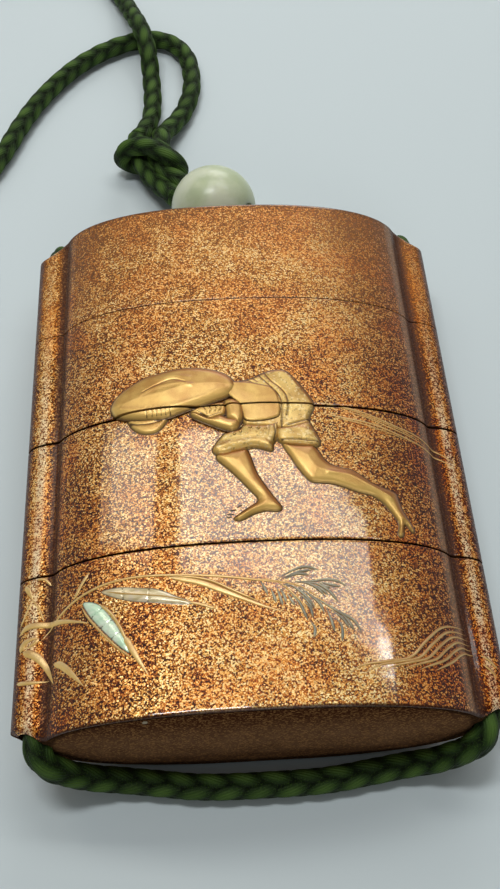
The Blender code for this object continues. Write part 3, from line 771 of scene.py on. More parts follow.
def case_outline(reach, inset):
    """Evenly spaced points round body and runners, with the grooves slightly filled."""
    half_width, half_thickness = BODY_WIDTH / 2 - inset, BODY_THICKNESS / 2 - inset
    reach, runner_half = reach - inset, RUNNER_THICKNESS / 2 - inset
    angle = np.linspace(0, math.pi / 2, BODY_SAMPLES)
    x = half_width * np.cos(angle) ** (2 / OVAL_POWER)
    body = np.stack([x, half_thickness * np.sin(angle) ** (2 / OVAL_POWER)], 1)
    # Halve the range until it holds the point where runner and body meet
    low, high = RUNNER_ROOT - reach, min(half_width, RUNNER_ROOT + reach)
    for _ in range(50):
        middle = (low + high) / 2
        inside = oval_z(middle, half_width, half_thickness) > runner_z(middle, reach, runner_half)
        low, high = (middle, high) if inside else (low, middle)
    body = body[body[:, 0] <= low]
    first = math.acos(np.clip((low - RUNNER_ROOT) / reach, 0, 1))
    t = np.linspace(0, first, RUNNER_SAMPLES)
    runner = np.stack([RUNNER_ROOT + reach * np.cos(t), runner_half * np.sin(t)], 1)
    quarter = np.vstack([runner, body])
    half = np.vstack([quarter, (quarter * (-1, 1))[::-1][1:]])
    loop = np.vstack([half, (-half)[1:-1]])
    closed = np.vstack([loop, loop[:1]])
    along = lengths_along(closed)
    at = np.arange(OUTLINE_POINTS) * along[-1] / OUTLINE_POINTS
    even = np.stack([np.interp(at, along, closed[:, k]) for k in range(2)], 1)
    spread = GROOVE_SOFTNESS / (along[-1] / OUTLINE_POINTS)
    offsets = np.arange(-int(3 * spread) - 1, int(3 * spread) + 2)
    weights = np.exp(-((offsets / spread) ** 2) / 2)
    even = sum(np.roll(even, o, axis=0) * v for o, v in zip(offsets, weights)) / weights.sum()
    even[:, 1] = np.maximum(even[:, 1], -(BODY_THICKNESS / 2 - BACK_FLAT) + inset)
    return even


def loft(name, sections, *paints):
    """A closed solid through (y, outline) sections from low y to high y."""
    count = len(sections[0][1])
    verts = [(x, y, MID_Z + z) for y, outline in sections for x, z in outline]
    faces = [tuple(range(count - 1, -1, -1)), tuple(range(len(verts) - count, len(verts)))]
    for r in range(len(sections) - 1):
        for k in range(count):
            n = (k + 1) % count
            faces.append((r * count + k, r * count + n, (r + 1) * count + n, (r + 1) * count + k))
    mesh = mesh_of(name, verts, faces)
    turn_outwards(mesh)
    return link(name, mesh, *paints)


def hollow(name, inset, side_inset, low, high):
    """A solid of the body's oval between the channels, smaller by the insets."""
    half_width = CHANNEL_X - CHANNEL_R - side_inset
    half_thickness = BODY_THICKNESS / 2 - inset
    outline = []
    for k in range(HOLLOW_POINTS):
        angle = 2 * math.pi * k / HOLLOW_POINTS
        c, s = math.cos(angle), math.sin(angle)
        x = half_width * math.copysign(abs(c) ** (2 / OVAL_POWER), c)
        outline.append((x, half_thickness * math.copysign(abs(s) ** (2 / OVAL_POWER), s)))
    return loft(name, [(low, outline), (high, outline)])


def channel(side, low, high):
    outline = []
    for k in range(CHANNEL_POINTS):
        angle = 2 * math.pi * k / CHANNEL_POINTS
        x = side * CHANNEL_X + CHANNEL_R * math.cos(angle)
        outline.append((x, CHANNEL_R * math.sin(angle)))
    return loft("channel", [(low, outline), (high, outline)])


def end_reach(depth, fall):
    """How far the runners stand out at a depth from the case's end, where they slope in."""
    share = min(1.0, depth / fall)
    return RUNNER_END_START + (RUNNER_REACH - RUNNER_END_START) * share


def tier_sections(low, high, base_end, lid_end):
    """Sections of a tier, rounded over at its edges; the case's two ends are rounder."""
    rows = []
    for at_end, inwards, is_end, fall in (
        (low, 1, base_end, BASE_END_FALL), (high, -1, lid_end, LID_END_FALL),
    ):
        size = EDGE_ROUND if is_end else SEAM_EDGE_ROUND
        part = []
        for k in range(5):
            angle = math.pi / 2 * k / 4
            depth, inset = size * (1 - math.cos(angle)), size * (1 - math.sin(angle))
            reach = end_reach(depth, fall) if is_end else RUNNER_REACH
            part.append((at_end + inwards * depth, reach, inset))
        depths = (size + 0.0002, 0.4 * fall, 0.6 * fall, 0.8 * fall, fall, fall + 0.0003)
        for depth in depths if is_end else depths[:1]:
            reach = end_reach(depth, fall) if is_end else RUNNER_REACH
            part.append((at_end + inwards * depth, reach, 0.0))
        rows += part if inwards > 0 else part[::-1]
    return [(y, case_outline(reach, inset)) for y, reach, inset in rows]


FLAKES, DARK = flake_lacquer(), dark_lacquer()


# The upper half of the outline, from left to right in metres
FACE_TOP = case_outline(RUNNER_REACH, 0.0)
FACE_TOP = FACE_TOP[FACE_TOP[:, 1] > 0]
FACE_TOP = FACE_TOP[np.argsort(FACE_TOP[:, 0])]
INNER_DEPTH, INNER_FROM_EDGE, RISER_FROM_EDGE = 0.0006, 0.003, 0.0001


def paint_tier(piece, low, high):
    """Flakes outside, plain dark lacquer on the ends, the riser and inside."""
    mesh = piece.data
    mesh.materials.clear()
    mesh.materials.append(FLAKES)
    mesh.materials.append(DARK)
    for face in mesh.polygons:
        x, y, z = face.center
        end = abs(face.normal.y) > 0.9
        deep = abs(z - MID_Z) < np.interp(x, FACE_TOP[:, 0], FACE_TOP[:, 1]) - INNER_DEPTH
        inner = deep and min(y - low, high - y) > INNER_FROM_EDGE
        riser = y > high + RISER_FROM_EDGE or y < low - RISER_FROM_EDGE
        face.material_index = 1 if end or inner or riser else 0


def tier_ends(k):
    """Where tier k begins and ends along the case; k counts from the base."""
    low = BASE_Y if k == 0 else SEAM_Y[k - 1] + SEAM_SHOWN[k - 1] / 2
    high = LID_Y if k == 3 else SEAM_Y[k] - SEAM_SHOWN[k] / 2
    return low, high


def build_tier(name, node, k):
    """Tier k from the base up: all but the lid have a riser, all but the lowest a socket."""
    low, high = tier_ends(k)
    piece = loft(name, tier_sections(low, high, k == 0, k == 3), FLAKES)
    tools = []
    floor_top = low + (BASE_FLOOR if k == 0 else RISER_HEIGHT + SEAT_CLEARANCE + FLOOR)
    if k < 3:
        inset, side = OUTER_WALL + SEAT_CLEARANCE, SOCKET_END_WALL + SEAT_CLEARANCE
        riser = hollow("riser", inset, side, high - 0.002, high + RISER_HEIGHT)
        cut(piece, riser, "UNION")
        inside = hollow(
            "inside", inset + RISER_WALL, side + RISER_WALL, floor_top, high + RISER_HEIGHT + 0.001
        )
        cut(piece, inside)
        tools += [riser, inside]
    if k > 0:
        depth = RISER_HEIGHT + SEAT_CLEARANCE if k < 3 else TIER_HEIGHTS[3] - LID_TOP
        socket = hollow("socket", OUTER_WALL, SOCKET_END_WALL, low - 0.001, low + depth)
        cut(piece, socket)
        tools.append(socket)
    for side in (-1, 1):
        tool = channel(side, low - 0.001, high + 0.001)
        cut(piece, tool)
        tools.append(tool)
    apply_modifiers(piece)
    remove(*tools)
    paint_tier(piece, low, high)
    piece.data.shade_smooth()
    piece.data.set_sharp_from_angle(angle=math.radians(40))
    finish_piece(piece, "lacquer", node)


TIERS = (
    ("tier_lower", "case_lower"), ("tier_middle", "case_middle"),
    ("tier_upper", "case_upper"), ("tier_lid", "lid"),
)
for index, (tier_name, tier_node) in enumerate(TIERS):
    build_tier(tier_name, tier_node, index)


# Raised work on the face. Shapes are in millimetres: x across, y along, rise over the face

FACE_TOP_MM = FACE_TOP / MM


def face_z(x):
    return MID_Z / MM + np.interp(x, FACE_TOP_MM[:, 0], FACE_TOP_MM[:, 1])


def smooth_loop(points, spacing):
    """A closed smooth curve through the points."""
    base = np.array(points, float)
    n, out = len(base), []
    for i in range(n):
        p0, p1, p2, p3 = (base[(i + j - 1) % n] for j in range(4))
        steps = max(2, round(np.linalg.norm(p2 - p1) / spacing))
        for t in np.linspace(0, 1, steps, endpoint=False):
            out.append(
                0.5 * (2 * p1 + (p2 - p0) * t + (2 * p0 - 5 * p1 + 4 * p2 - p3) * t**2
                       + (3 * p1 - p0 - 3 * p2 + p3) * t**3)
            )
    return np.array(out)


def distance_to(points, line, closed=False):
    """Distance of each point to the nearest stretch of the line."""
    best = np.full(len(points), 1e9)
    for p, q in zip(line, np.roll(line, -1, axis=0) if closed else line[1:]):
        d = q - p
        t = np.clip(((points - p) @ d) / max(d @ d, 1e-12), 0, 1)
        best = np.minimum(best, np.linalg.norm(points - p - t[:, None] * d, axis=1))
    return best


def inside_loop(points, loop):
    x, y = points[:, 0], points[:, 1]
    hit = np.zeros(len(points), bool)
    for p, q in zip(loop, np.roll(loop, -1, axis=0)):
        cross = (p[1] > y) != (q[1] > y)
        with np.errstate(divide="ignore", invalid="ignore"):
            at = (q[0] - p[0]) * (y - p[1]) / (q[1] - p[1]) + p[0]
        hit ^= cross & (x < at)
    return hit


# How far the shapes reach into the face, and how many points go over a stroke
SINK = 0.12
STROKE_SIDES = 10


def raised(outline, rise, round_over, crown=0.0, base=0.0, lines=(), step=0.16, foot=0.2):
    """A closed raised shape: a low foot, then it rounds up, swells by crown, and carries lines
    (points, half width, depth) cut into it, or raised on it where the depth is negative."""
    loop = smooth_loop(outline, step)
    low, high = loop.min(axis=0), loop.max(axis=0)
    gx, gy = np.meshgrid(np.arange(low[0], high[0], step), np.arange(low[1], high[1], step * 0.87))
    gx = gx + (np.arange(gx.shape[0]) % 2)[:, None] * step / 2
    grid = np.stack([gx.ravel(), gy.ravel()], 1)
    grid = grid[inside_loop(grid, loop)]
    grid = grid[distance_to(grid, loop, True) > 0.45 * step]
    points = np.vstack([loop, grid])
    ring = list(range(len(loop)))
    result = delaunay_2d_cdt([Vector(p) for p in points], [], [ring], 1, 1e-5)
    flat = np.array([tuple(v) for v in result[0]])
    tris = result[2]
    d = distance_to(flat, loop, True)
    share = np.clip((d - foot) / round_over, 0, 1)
    height = base + rise * (0.1 * np.clip(d / foot, 0, 1) + 0.9 * np.sqrt(1 - (1 - share) ** 2))
    height = height + crown * np.clip((d - foot) / max(d.max() - foot, 1e-6), 0, 1) ** 0.8
    # Marks for painted shade: low at the foot and along fine cut lines
    marks = np.clip(d * 0.2 / foot, 0, 1)
    for line, half, depth in lines:
        near = np.exp(-((distance_to(flat, smooth_line(line, 0.15)) / half) ** 2))
        height = height - depth * near * share
        if depth > 0 and half < 0.2:
            marks = marks * (1 - near)
    top = np.column_stack([flat, face_z(flat[:, 0]) + height])
    bottom = np.column_stack([flat, face_z(flat[:, 0]) - SINK])
    n = len(flat)
    faces = [tuple(t) for t in tris] + [tuple(i + n for i in reversed(t)) for t in tris]
    edges = {}
    for t in tris:
        for a, b in zip(t, t[1:] + t[:1]):
            edges[(a, b)] = edges.get((a, b), 0) + 1
    for a, b in edges:
        if (b, a) not in edges:
            faces.append((b, a, a + n, b + n))
    marks = np.concatenate([marks, np.zeros(n)])
    return np.vstack([top, bottom]), faces, marks


def stroke(points, width, rise, taper=(0.15, 0.85), step=0.25, lit=0.5):
    """A slender raised stroke that swells from both ends; width is its widest, in mm."""
    line = smooth_line(points, step)
    count, sides = len(line), STROKE_SIDES
    ahead = np.gradient(line, axis=0)
    ahead /= np.linalg.norm(ahead, axis=1)[:, None]
    normal = np.stack([-ahead[:, 1], ahead[:, 0]], 1)
    t = np.linspace(0, 1, count)
    swell = np.minimum(1, np.minimum(t / max(taper[0], 1e-3), (1 - t) / max(1 - taper[1], 1e-3)))
    swell = np.clip(swell, 0.03, 1) ** 0.75
    verts, marks = [], []
    for j in range(sides):
        angle = math.pi * j / (sides - 1)
        p = line + normal * (width / 2 * swell * math.cos(angle))[:, None]
        lift = rise * swell * math.sin(angle) if 0 < j < sides - 1 else -SINK * np.ones(count)
        verts.append(np.column_stack([p, face_z(p[:, 0]) + lift]))
        # Marks for painted shade: dark on the stroke's sides, lighter along its top by lit
        marks.append(np.full(count, 0.14 + lit * math.sin(angle)))
    verts = np.stack(verts, axis=1).reshape(-1, 3)
    faces = side_faces(count, sides)
    faces.append(tuple(range(sides)))
    faces.append(tuple(range(count * sides - 1, (count - 1) * sides - 1, -1)))
    return verts, faces, np.stack(marks, axis=1).ravel()


def clip_to(work, low, high):
    """Cuts a closed mesh to low..high along the case and closes the cuts."""
    for place, direction in ((low, -1), (high, 1)):
        geometry = list(work.verts) + list(work.edges) + list(work.faces)
        cut_at = bmesh.ops.bisect_plane(
            work, geom=geometry, dist=1e-7, plane_co=(0, place, 0), plane_no=(0, direction, 0),
            clear_outer=True,
        )
        edges = [e for e in cut_at["geom_cut"] if isinstance(e, bmesh.types.BMEdge)]
        if edges:
            bmesh.ops.holes_fill(work, edges=edges, sides=0)


def relief_piece(name, shapes, paints, low, high):
    """Joins the shapes that lie on one tier into one piece; each has a paint number."""
    kept = []
    for shape, paint in shapes:
        along = shape[0][:, 1] * MM
        if along.max() > low and along.min() < high:
            kept.append((shape, paint))
    verts, faces, marks = joined([shape for shape, _ in kept])
    mesh = mesh_of(name, verts * MM, faces)
    indices = [paint for shape, paint in kept for _ in shape[1]]
    mesh.polygons.foreach_set("material_index", indices)
    mark = mesh.attributes.new("edge", "FLOAT", "POINT")
    mark.data.foreach_set("value", marks.astype(np.float32))
    work = bmesh.new()
    work.from_mesh(mesh)
    bmesh.ops.recalc_face_normals(work, faces=work.faces)
    clip_to(work, low, high)
    work.to_mesh(mesh)
    work.free()
    mesh.shade_smooth()
    mesh.set_sharp_from_angle(angle=math.radians(55))
    finish_piece(link(name, mesh, *paints), "lacquer")


# Paint numbers of the shapes
GOLD, ROBE, PEWTER, BLADE, MINT_SHELL, GREY_SHELL = range(6)

HAT = [
    (-18, 3.4), (-17.6, 4.6), (-16.5, 5.8), (-15, 6.8), (-13.1, 7.7), (-11.2, 8.1), (-9, 8.5),
    (-6.9, 8.5), (-4.7, 8.1), (-2.9, 7.4), (-1.6, 6.4), (-1, 5.2), (-1.2, 4.2), (-2.1, 3.3),
    (-4, 2.5), (-5.5, 2), (-7.8, 1.3), (-9.5, 0.7), (-10.9, 0.4), (-13, 0.5), (-15.1, 0.9),
    (-16.5, 1.4), (-17.4, 1.9), (-17.8, 2.6),
]
HEAD = [
    (-15.6, 1.3), (-15.5, 0.5), (-15, -0.3), (-14.4, -0.9), (-13.5, -1.4), (-12.7, -1.5),
    (-11.8, -1.4), (-11, -0.8), (-10.4, 0), (-10, 0.9), (-11.6, 1.4), (-13.4, 1.5),
]
HAND = [
    (-7.5, 1.1), (-6.8, 1.8), (-5.7, 2.2), (-4.7, 2.4), (-3.5, 2.6), (-2.6, 2.4), (-2.5, 1.1),
    (-2.9, 0.4), (-3.9, 0), (-4.8, -0.2), (-5.6, 0.2), (-6.6, 0.7),
]
FOREARM = [
    (-7.4, 0.9), (-7, 0.2), (-5.6, -0.7), (-4.5, -1.3), (-3.5, -1.8), (-2.5, -2.2), (-1.8, -2.3),
    (-1.1, -1.9), (-0.8, -1.1), (-0.9, -0.4), (-1.7, -0.2), (-2.5, 0), (-3.4, 0.5), (-4.2, 0.3),
    (-4.9, 0.1), (-5.8, 0.6), (-6.6, 1.1), (-7.2, 1.2),
]
UPPER_ARM = [
    (-2.9, 2.5), (-2.7, 1.1), (-2.6, -0.1), (-1.8, -0.8), (-1.1, -1.4), (-0.4, -0.4), (-0.2, 0.9),
    (-0.4, 2), (-1.4, 2.9), (-2.3, 3),
]
PANEL = [
    (-1.9, 5.6), (0.2, 5.5), (1.9, 5.1), (3.4, 4.6), (4.2, 3.6), (4.5, 2.5), (4.6, 1.5),
    (4.5, 0.4), (4.2, -0.3), (3.1, -0.7), (1.7, -0.9), (0.5, -0.9), (-0.3, -0.5), (-0.5, 0.6),
    (-0.8, 1.9), (-1.7, 2.9), (-2.3, 3.8), (-2.3, 5.1),
]
BACK = [
    (-1.4, 5.9), (0.4, 6.3), (1.5, 6.7), (2.6, 7.3), (3.7, 7.7), (5, 7.8), (5.9, 7.5), (6.7, 6.6),
    (7.5, 5.4), (8.3, 4.1), (8.9, 3), (9.2, 2.1), (9.1, 1.2), (8.7, 0.4), (8.4, -0.4), (8.3, -1.2),
    (7, -1.9), (5, -2.2), (2.8, -1.8), (0.8, -1.6), (-0.4, -1.2), (-1.4, 1.6), (-2.5, 4),
    (-2.4, 5.4),
]
HIP = [
    (3.7, -1.9), (4.6, -1.6), (5.8, -1.4), (8.1, -0.8), (8.8, -1.9), (9.3, -3.1), (9.5, -4),
    (9.1, -4.8), (7.9, -4.9), (6.4, -4.7), (5.1, -4.6), (4.2, -4.3), (3.7, -3.6),
]
SKIRT = [
    (-3.8, -3.1), (-3.1, -2.3), (-2.1, -2), (-1.1, -1.7), (-0.3, -1), (1.7, -1.2), (3.1, -1),
    (4.3, -0.6), (4.3, -1.9), (3.9, -3.5), (3.4, -4.3), (3.2, -5.4), (2.3, -5.3), (1.4, -5),
    (0.6, -4.9), (-0.4, -5.1), (-1.6, -5.4), (-2.8, -5.8), (-3.9, -5.8), (-4.6, -5.3),
    (-4.7, -4.5), (-4.3, -3.8),
]
FRONT_LEG = [
    (-4.2, -5.5), (-3, -5.2), (-1.6, -4.9), (-0.2, -4.8), (0.3, -5.9), (0.5, -6.7), (1, -8.5),
    (1.9, -10.3), (2.8, -11.9), (3.5, -13), (3.8, -13.7), (3.5, -14.2), (2.8, -14.3), (1.7, -14.2),
    (0.7, -14.4), (-0.1, -14.7), (-1, -15.2), (-1.7, -15.4), (-2.4, -15.2), (-2.4, -14.8),
    (-1.9, -14.4), (-1.1, -13.8), (-0.2, -13.2), (0.5, -12.7), (0.6, -12.2), (0, -11.4),
    (-1.2, -9.8), (-2.4, -8.3), (-3.7, -6.9), (-4.2, -6.3),
]
BACK_LEG = [
    (4.3, -4.2), (5.7, -4.3), (7.1, -4.4), (8.4, -4.5), (9.2, -5.4), (9.6, -6.3), (10.4, -7.2),
    (11.7, -7.7), (13.1, -8), (14.3, -8.8), (15.6, -9.8), (16.7, -10.3), (17.9, -10.7),
    (18.7, -11.2), (18.9, -12.1), (19.2, -13.4), (19.6, -14.3), (20.1, -15.3), (20.4, -16.2),
    (20.1, -16.8), (19.6, -16.3), (19.2, -15.7), (19, -16.4), (18.8, -17.3), (18.2, -17.6),
    (17.9, -17.1), (18.1, -16.3), (18.2, -15.6), (17.8, -14.7), (17.1, -13.6), (16.3, -12.6),
    (15.2, -11.9), (13.5, -11.5), (11.9, -10.9), (10.3, -10.4), (8.8, -10.3), (7.6, -10.1),
    (6.9, -9.4), (6, -7.9), (5.2, -6.3),
]


def ellipse(x, y, half_wide, half_long):
    angles = [k * math.pi / 5 for k in range(10)]
    return [(x + half_wide * math.cos(a), y + half_long * math.sin(a)) for a in angles]


def figure_shapes():
    """A traveller bent under a broad hat, running with the wind behind."""
    rib_places = (-13.1, -12.4, -11.8, -11.2, -10.6, -10.0)
    ribs = [([(x, 2.2), (x + 0.1, 0.9)], 0.09, 0.05) for x in rib_places]
    hat_lines = ribs + [
        ([(-13.5, 4.7), (-12.4, 5.3), (-11.2, 5.8), (-10.1, 6.2), (-9.1, 6.2),
          (-7.9, 5.7)], 0.10, 0.09),
        ([(-11.4, 6.5), (-9.4, 6.8), (-7.4, 6.3)], 0.4, -0.06),
        ([(-13.9, 4.2), (-12.2, 5), (-10.4, 5.4), (-8.6, 5.5), (-7, 5)], 0.3, -0.07),
        ([(-16.4, 2.6), (-13, 2), (-9.2, 2.2), (-5.6, 3.2), (-2.9, 4.5)], 0.3, -0.05),
    ]
    head_lines = [([(-15.2, 0.5), (-14.2, 0.2), (-12.6, 0.1), (-11.2, 0.4)], 0.19, 0.12)]
    straps = [
        ([(1.8, 6.9), (2.8, 5.6), (4.1, 3.9), (4.7, 2.6), (4.75, 1), (4.6, -1),
          (4.5, -2.2)], 0.12, 0.14),
        ([(2.6, 7.3), (3.7, 5.5), (4.6, 4.6), (5.4, 3.4), (5.6, 2.5), (5.6, 1.4),
          (5.3, 0)], 0.12, 0.14),
        ([(-0.2, 6.4), (0.4, 5.9), (1.1, 5.5)], 0.11, 0.10),
        ([(0.5, 6.7), (1.2, 6.1), (1.8, 5.6)], 0.11, 0.10),
        ([(5.4, -1.5), (6.9, -1), (8.3, -0.6)], 0.12, 0.12),
        ([(6.4, 6.2), (6.9, 4.6), (6.6, 2.8)], 0.40, -0.06),
    ]
    folds = [
        ([(-4.1, -4.7), (-2.4, -4.4), (-0.6, -4.1), (1.3, -3.9), (2.9, -4.6)], 0.35, -0.10),
        ([(-3.4, -3.6), (-1.2, -3.5), (1.2, -3.1)], 0.40, 0.08),
        ([(3.5, -1.2), (3.6, -2.6), (3.3, -3.8)], 0.10, 0.10),
        ([(2.8, -1.2), (2.9, -2.2), (2.7, -3.2)], 0.08, 0.06),
    ]
    hip_lines = [
        ([(4.4, -3.9), (6.2, -3.9), (7.8, -4.1), (9, -4.2)], 0.12, 0.12),
        ([(5, -2.4), (6.6, -2.2), (8.2, -2.6)], 0.35, -0.06),
    ]
    fingers = [
        ([(-6.4, 1.3), (-5.9, 0.9), (-5.4, 0.5)], 0.07, 0.09),
        ([(-5.7, 1.9), (-5.3, 1.3), (-5.2, 0.7)], 0.07, 0.09),
        ([(-4.9, 2), (-4.6, 1.4), (-4.8, 0.8)], 0.07, 0.09),
        ([(-4.1, 2.1), (-3.9, 1.5), (-4.1, 0.9)], 0.07, 0.09),
        ([(-3.2, 2), (-3.3, 1.4), (-3.6, 0.9)], 0.07, 0.09),
        ([(-6, 0.8), (-5, 0.3), (-4.2, 0.5), (-3.2, 0.8)], 0.07, 0.08),
    ]
    shin = [([(1.2, -9), (2, -10.6), (2.9, -12.4)], 0.3, 0.06)]
    calf = [([(10, -8.9), (12.6, -9.2), (15, -10.4), (17.6, -12.2)], 0.30, -0.10)]
    shapes = [
        (raised(HEAD, 0.28, 0.4, 0.15, lines=head_lines), GOLD),
        (raised(FRONT_LEG, 0.45, 0.7, 0.38, lines=shin), GOLD),
        (raised(BACK_LEG, 0.45, 0.7, 0.38, lines=calf), GOLD),
        (raised(BACK, 0.45, 0.6, 0.22, lines=straps, step=0.11), ROBE),
        (raised(SKIRT, 0.55, 0.5, 0.30, lines=folds, step=0.12), ROBE),
        (raised(HIP, 0.58, 0.5, 0.30, lines=hip_lines, step=0.12), ROBE),
        (raised(PANEL, 0.16, 0.25, 0.10, base=0.58, foot=0.1), GOLD),
        (raised(UPPER_ARM, 0.45, 0.6, 0.22, base=0.35), GOLD),
        (raised(HAND, 0.30, 0.35, 0.14, base=0.25, lines=fingers, step=0.11), GOLD),
        (raised(FOREARM, 0.42, 0.5, 0.28, base=0.36), GOLD),
        (raised(HAT, 0.55, 1.0, 0.5, base=0.35, lines=hat_lines, step=0.12), GOLD),
    ]
    dots = (
        (0.4, -1.9), (1.5, -2), (-0.9, -2.5), (-0.2, -2.8), (0.3, -2.5), (1.1, -2.7), (1.9, -2.6),
        (2.4, -2.2), (-1.7, -2.8),
    )
    for x, y in dots:
        dot = raised(ellipse(x, y, 0.22, 0.2), 0.12, 0.12, base=0.72, step=0.08, foot=0.04)
        shapes.append((dot, GOLD))
    for line in ([(-2.2, -15), (-1.3, -14.8)], [(-2, -14.7), (-1, -14.3)]):
        shapes.append((stroke(line, 0.14, 0.30), GOLD))
    # Short dark strokes beside the front foot's toes
    short_dark_strokes = (
        [(-3.4, -14.7), (-2.6, -14.7)], [(-3.2, -14.3), (-2.3, -14.3)],
        [(-2.9, -13.8), (-1.9, -13.7)], [(-2, -13.4), (-1.2, -13)],
    )
    for line in short_dark_strokes:
        shapes.append((stroke(line, 0.20, 0.10, lit=0.0), PEWTER))
    return shapes


def offset_lines(first, last, count, trim):
    """Lines between two lines, each starting a little later than the one before."""
    a, b = np.array(first, float), np.array(last, float)
    out = []
    for k in range(count):
        share = k / max(1, count - 1)
        line = a * (1 - share) + b * share
        fine = smooth_line(line, 0.3)
        out.append(fine[int(len(fine) * trim * share) :])
    return out


def wind_and_water():
    """Thin wind lines behind the traveller, and waves low on the right."""
    gusts = (
        ([(9, 2.5), (12.2, 1.9), (15.3, 1.2), (20, -0.4), (23.2, -1.2), (25.4, -2.1),
          (27.1, -3), (29.2, -4.7)], 0.24),
        ([(12, 1.8), (15, 1), (18.2, -0.1), (21.3, -1.1), (24, -1.9)], 0.16),
        ([(13, 1.2), (16, 0.4), (18.8, -0.7), (21.6, -1.5), (24.2, -2.3)], 0.20),
        ([(9.4, 0.7), (13.1, 0), (16.6, -0.6), (20.9, -1.9), (24.6, -2.9), (26.8, -3.8),
          (28.6, -5.2)], 0.26),
        ([(11.7, 0), (15.1, -0.7), (18.6, -1.6), (21.6, -2.4)], 0.18),
    )
    crest = [
        (8.8, -36), (11.2, -34.5), (14.4, -33.9), (17.2, -33.3), (19.6, -31), (22, -29),
        (25.2, -28.4),
    ]
    foot = [
        (19, -35.6), (20.2, -34.7), (21.6, -33.9), (22.8, -33.1), (23.8, -32.2), (24.8, -31.6),
        (25.9, -31.6),
    ]
    on_runner = (
        [(26.7, -31.5), (27.7, -32), (28.8, -33.1)],
        [(26.8, -32.6), (27.6, -33.2), (28.5, -34.2)],
    )
    strokes = [stroke(line, width, 0.08, (0.2, 0.8)) for line, width in gusts]
    strokes += [stroke(line, 0.36, 0.14, (0.3, 0.8)) for line in offset_lines(crest, foot, 6, 0.2)]
    strokes += [stroke(line, 0.34, 0.12, (0.3, 0.7)) for line in on_runner]
    return [(shape, BLADE) for shape in strokes]


def reeds():
    """Long blades, two shell leaves and small sprigs over the left runner."""
    # Each blade's line, width and rise; the broad ones are widest near their root
    blades = [
        ([(-26.6, -27), (-24.4, -24.8), (-22, -23.2), (-18.8, -22.1), (-15, -21.7),
          (-10, -22), (-4, -22.7), (3.6, -24)], 0.34, 0.12),
        ([(-10.6, -22.2), (-7, -23.2), (-3.6, -24.8), (0.4, -26.7), (3, -27.7)], 0.85, 0.16),
        ([(-10.2, -22.1), (-6, -23), (-2.6, -24.8), (0, -26.2)], 0.40, 0.24),
        ([(-22.2, -23), (-21.4, -21.5), (-20.4, -20)], 0.40, 0.12),
        ([(-8.2, -25.7), (-6.8, -26.1), (-5.2, -26.8)], 0.34, 0.10),
        ([(-27.4, -18.5), (-26.4, -18.6), (-25.5, -19.6)], 0.40, 0.12),
        ([(-28.9, -19), (-28.4, -19.9), (-27.8, -21.2)], 0.70, 0.14),
        ([(-27.8, -21.2), (-28.6, -22.8), (-29.3, -24.4)], 0.26, 0.10),
        ([(-27.8, -21.2), (-26.9, -22.6), (-26.2, -24.4)], 0.26, 0.10),
        ([(-29.4, -25.5), (-28.4, -24.8), (-26.4, -24.8), (-24, -25.3),
          (-20.2, -26.6)], 0.85, 0.14),
        ([(-29.1, -27.8), (-28.7, -26.8), (-27.6, -26.4), (-26.7, -26.5)], 0.75, 0.14),
        ([(-26.7, -26.5), (-27.4, -27.1), (-28.3, -27.5)], 0.55, 0.14),
        ([(-28.8, -27.8), (-26.9, -28.9), (-25.8, -30.2), (-24.6, -32.8)], 1.05, 0.16),
        ([(-24.7, -30.3), (-23.6, -31), (-22.2, -32.5), (-20.7, -34.3)], 0.85, 0.14),
        ([(-29.4, -31.7), (-27.8, -32), (-25.2, -32.2)], 0.55, 0.12),
        ([(-15.9, -29), (-14.9, -31), (-13.9, -32.8), (-13.1, -34.2)], 0.80, 0.14),
        ([(-18.9, -24.5), (-17.5, -26), (-16.4, -27.9), (-15.6, -29.8)], 0.42, 0.16),
    ]
    shapes = [
        (stroke(points, width, rise, (0.12, 0.4 if width > 0.5 else 0.85)), BLADE)
        for points, width, rise in blades
    ]
    joints = [
        ([(-18.4, -24.9), (-20, -26.1)], 0.09, 0.09),
        ([(-17.2, -26.7), (-18.8, -27.6)], 0.09, 0.09),
        ([(-16.3, -28.4), (-17.5, -29.2)], 0.09, 0.09),
    ]
    mint = [
        (-21.1, -23.9), (-20.1, -23.9), (-18.8, -24.7), (-17.6, -26.3), (-16.5, -28.1),
        (-15.7, -29.8), (-15.2, -31.3), (-16.2, -30.6), (-17.6, -29.1), (-19, -27.4),
        (-20.3, -25.6),
    ]
    shapes.append((raised(mint, 0.10, 0.2, 0.10, lines=joints), MINT_SHELL))
    border = [
        (-21.3, -24.1), (-20.4, -25.8), (-19.1, -27.6), (-17.7, -29.3), (-16.3, -30.8),
        (-14.9, -32),
    ]
    shapes.append((stroke(border, 0.30, 0.20), BLADE))
    grey = [
        (-18.8, -22.9), (-16.8, -22.7), (-14.4, -23.1), (-12, -23.6), (-9.6, -24.8), (-7.7, -25.9),
        (-9.6, -25.9), (-12.2, -25.4), (-14.8, -24.9), (-17.2, -24),
    ]
    seams = [
        ([(-16.2, -22.6), (-16, -24.9)], 0.09, 0.08),
        ([(-12.9, -23.2), (-13.1, -25.5)], 0.09, 0.08),
    ]
    shapes.append((raised(grey, 0.10, 0.2, 0.08, lines=seams), GREY_SHELL))
    rib = [(-18.7, -22.9), (-16, -23.7), (-13.1, -24.3), (-10.4, -24.9), (-7.9, -25.8)]
    shapes.append((stroke(rib, 0.22, 0.28), BLADE))
    return shapes


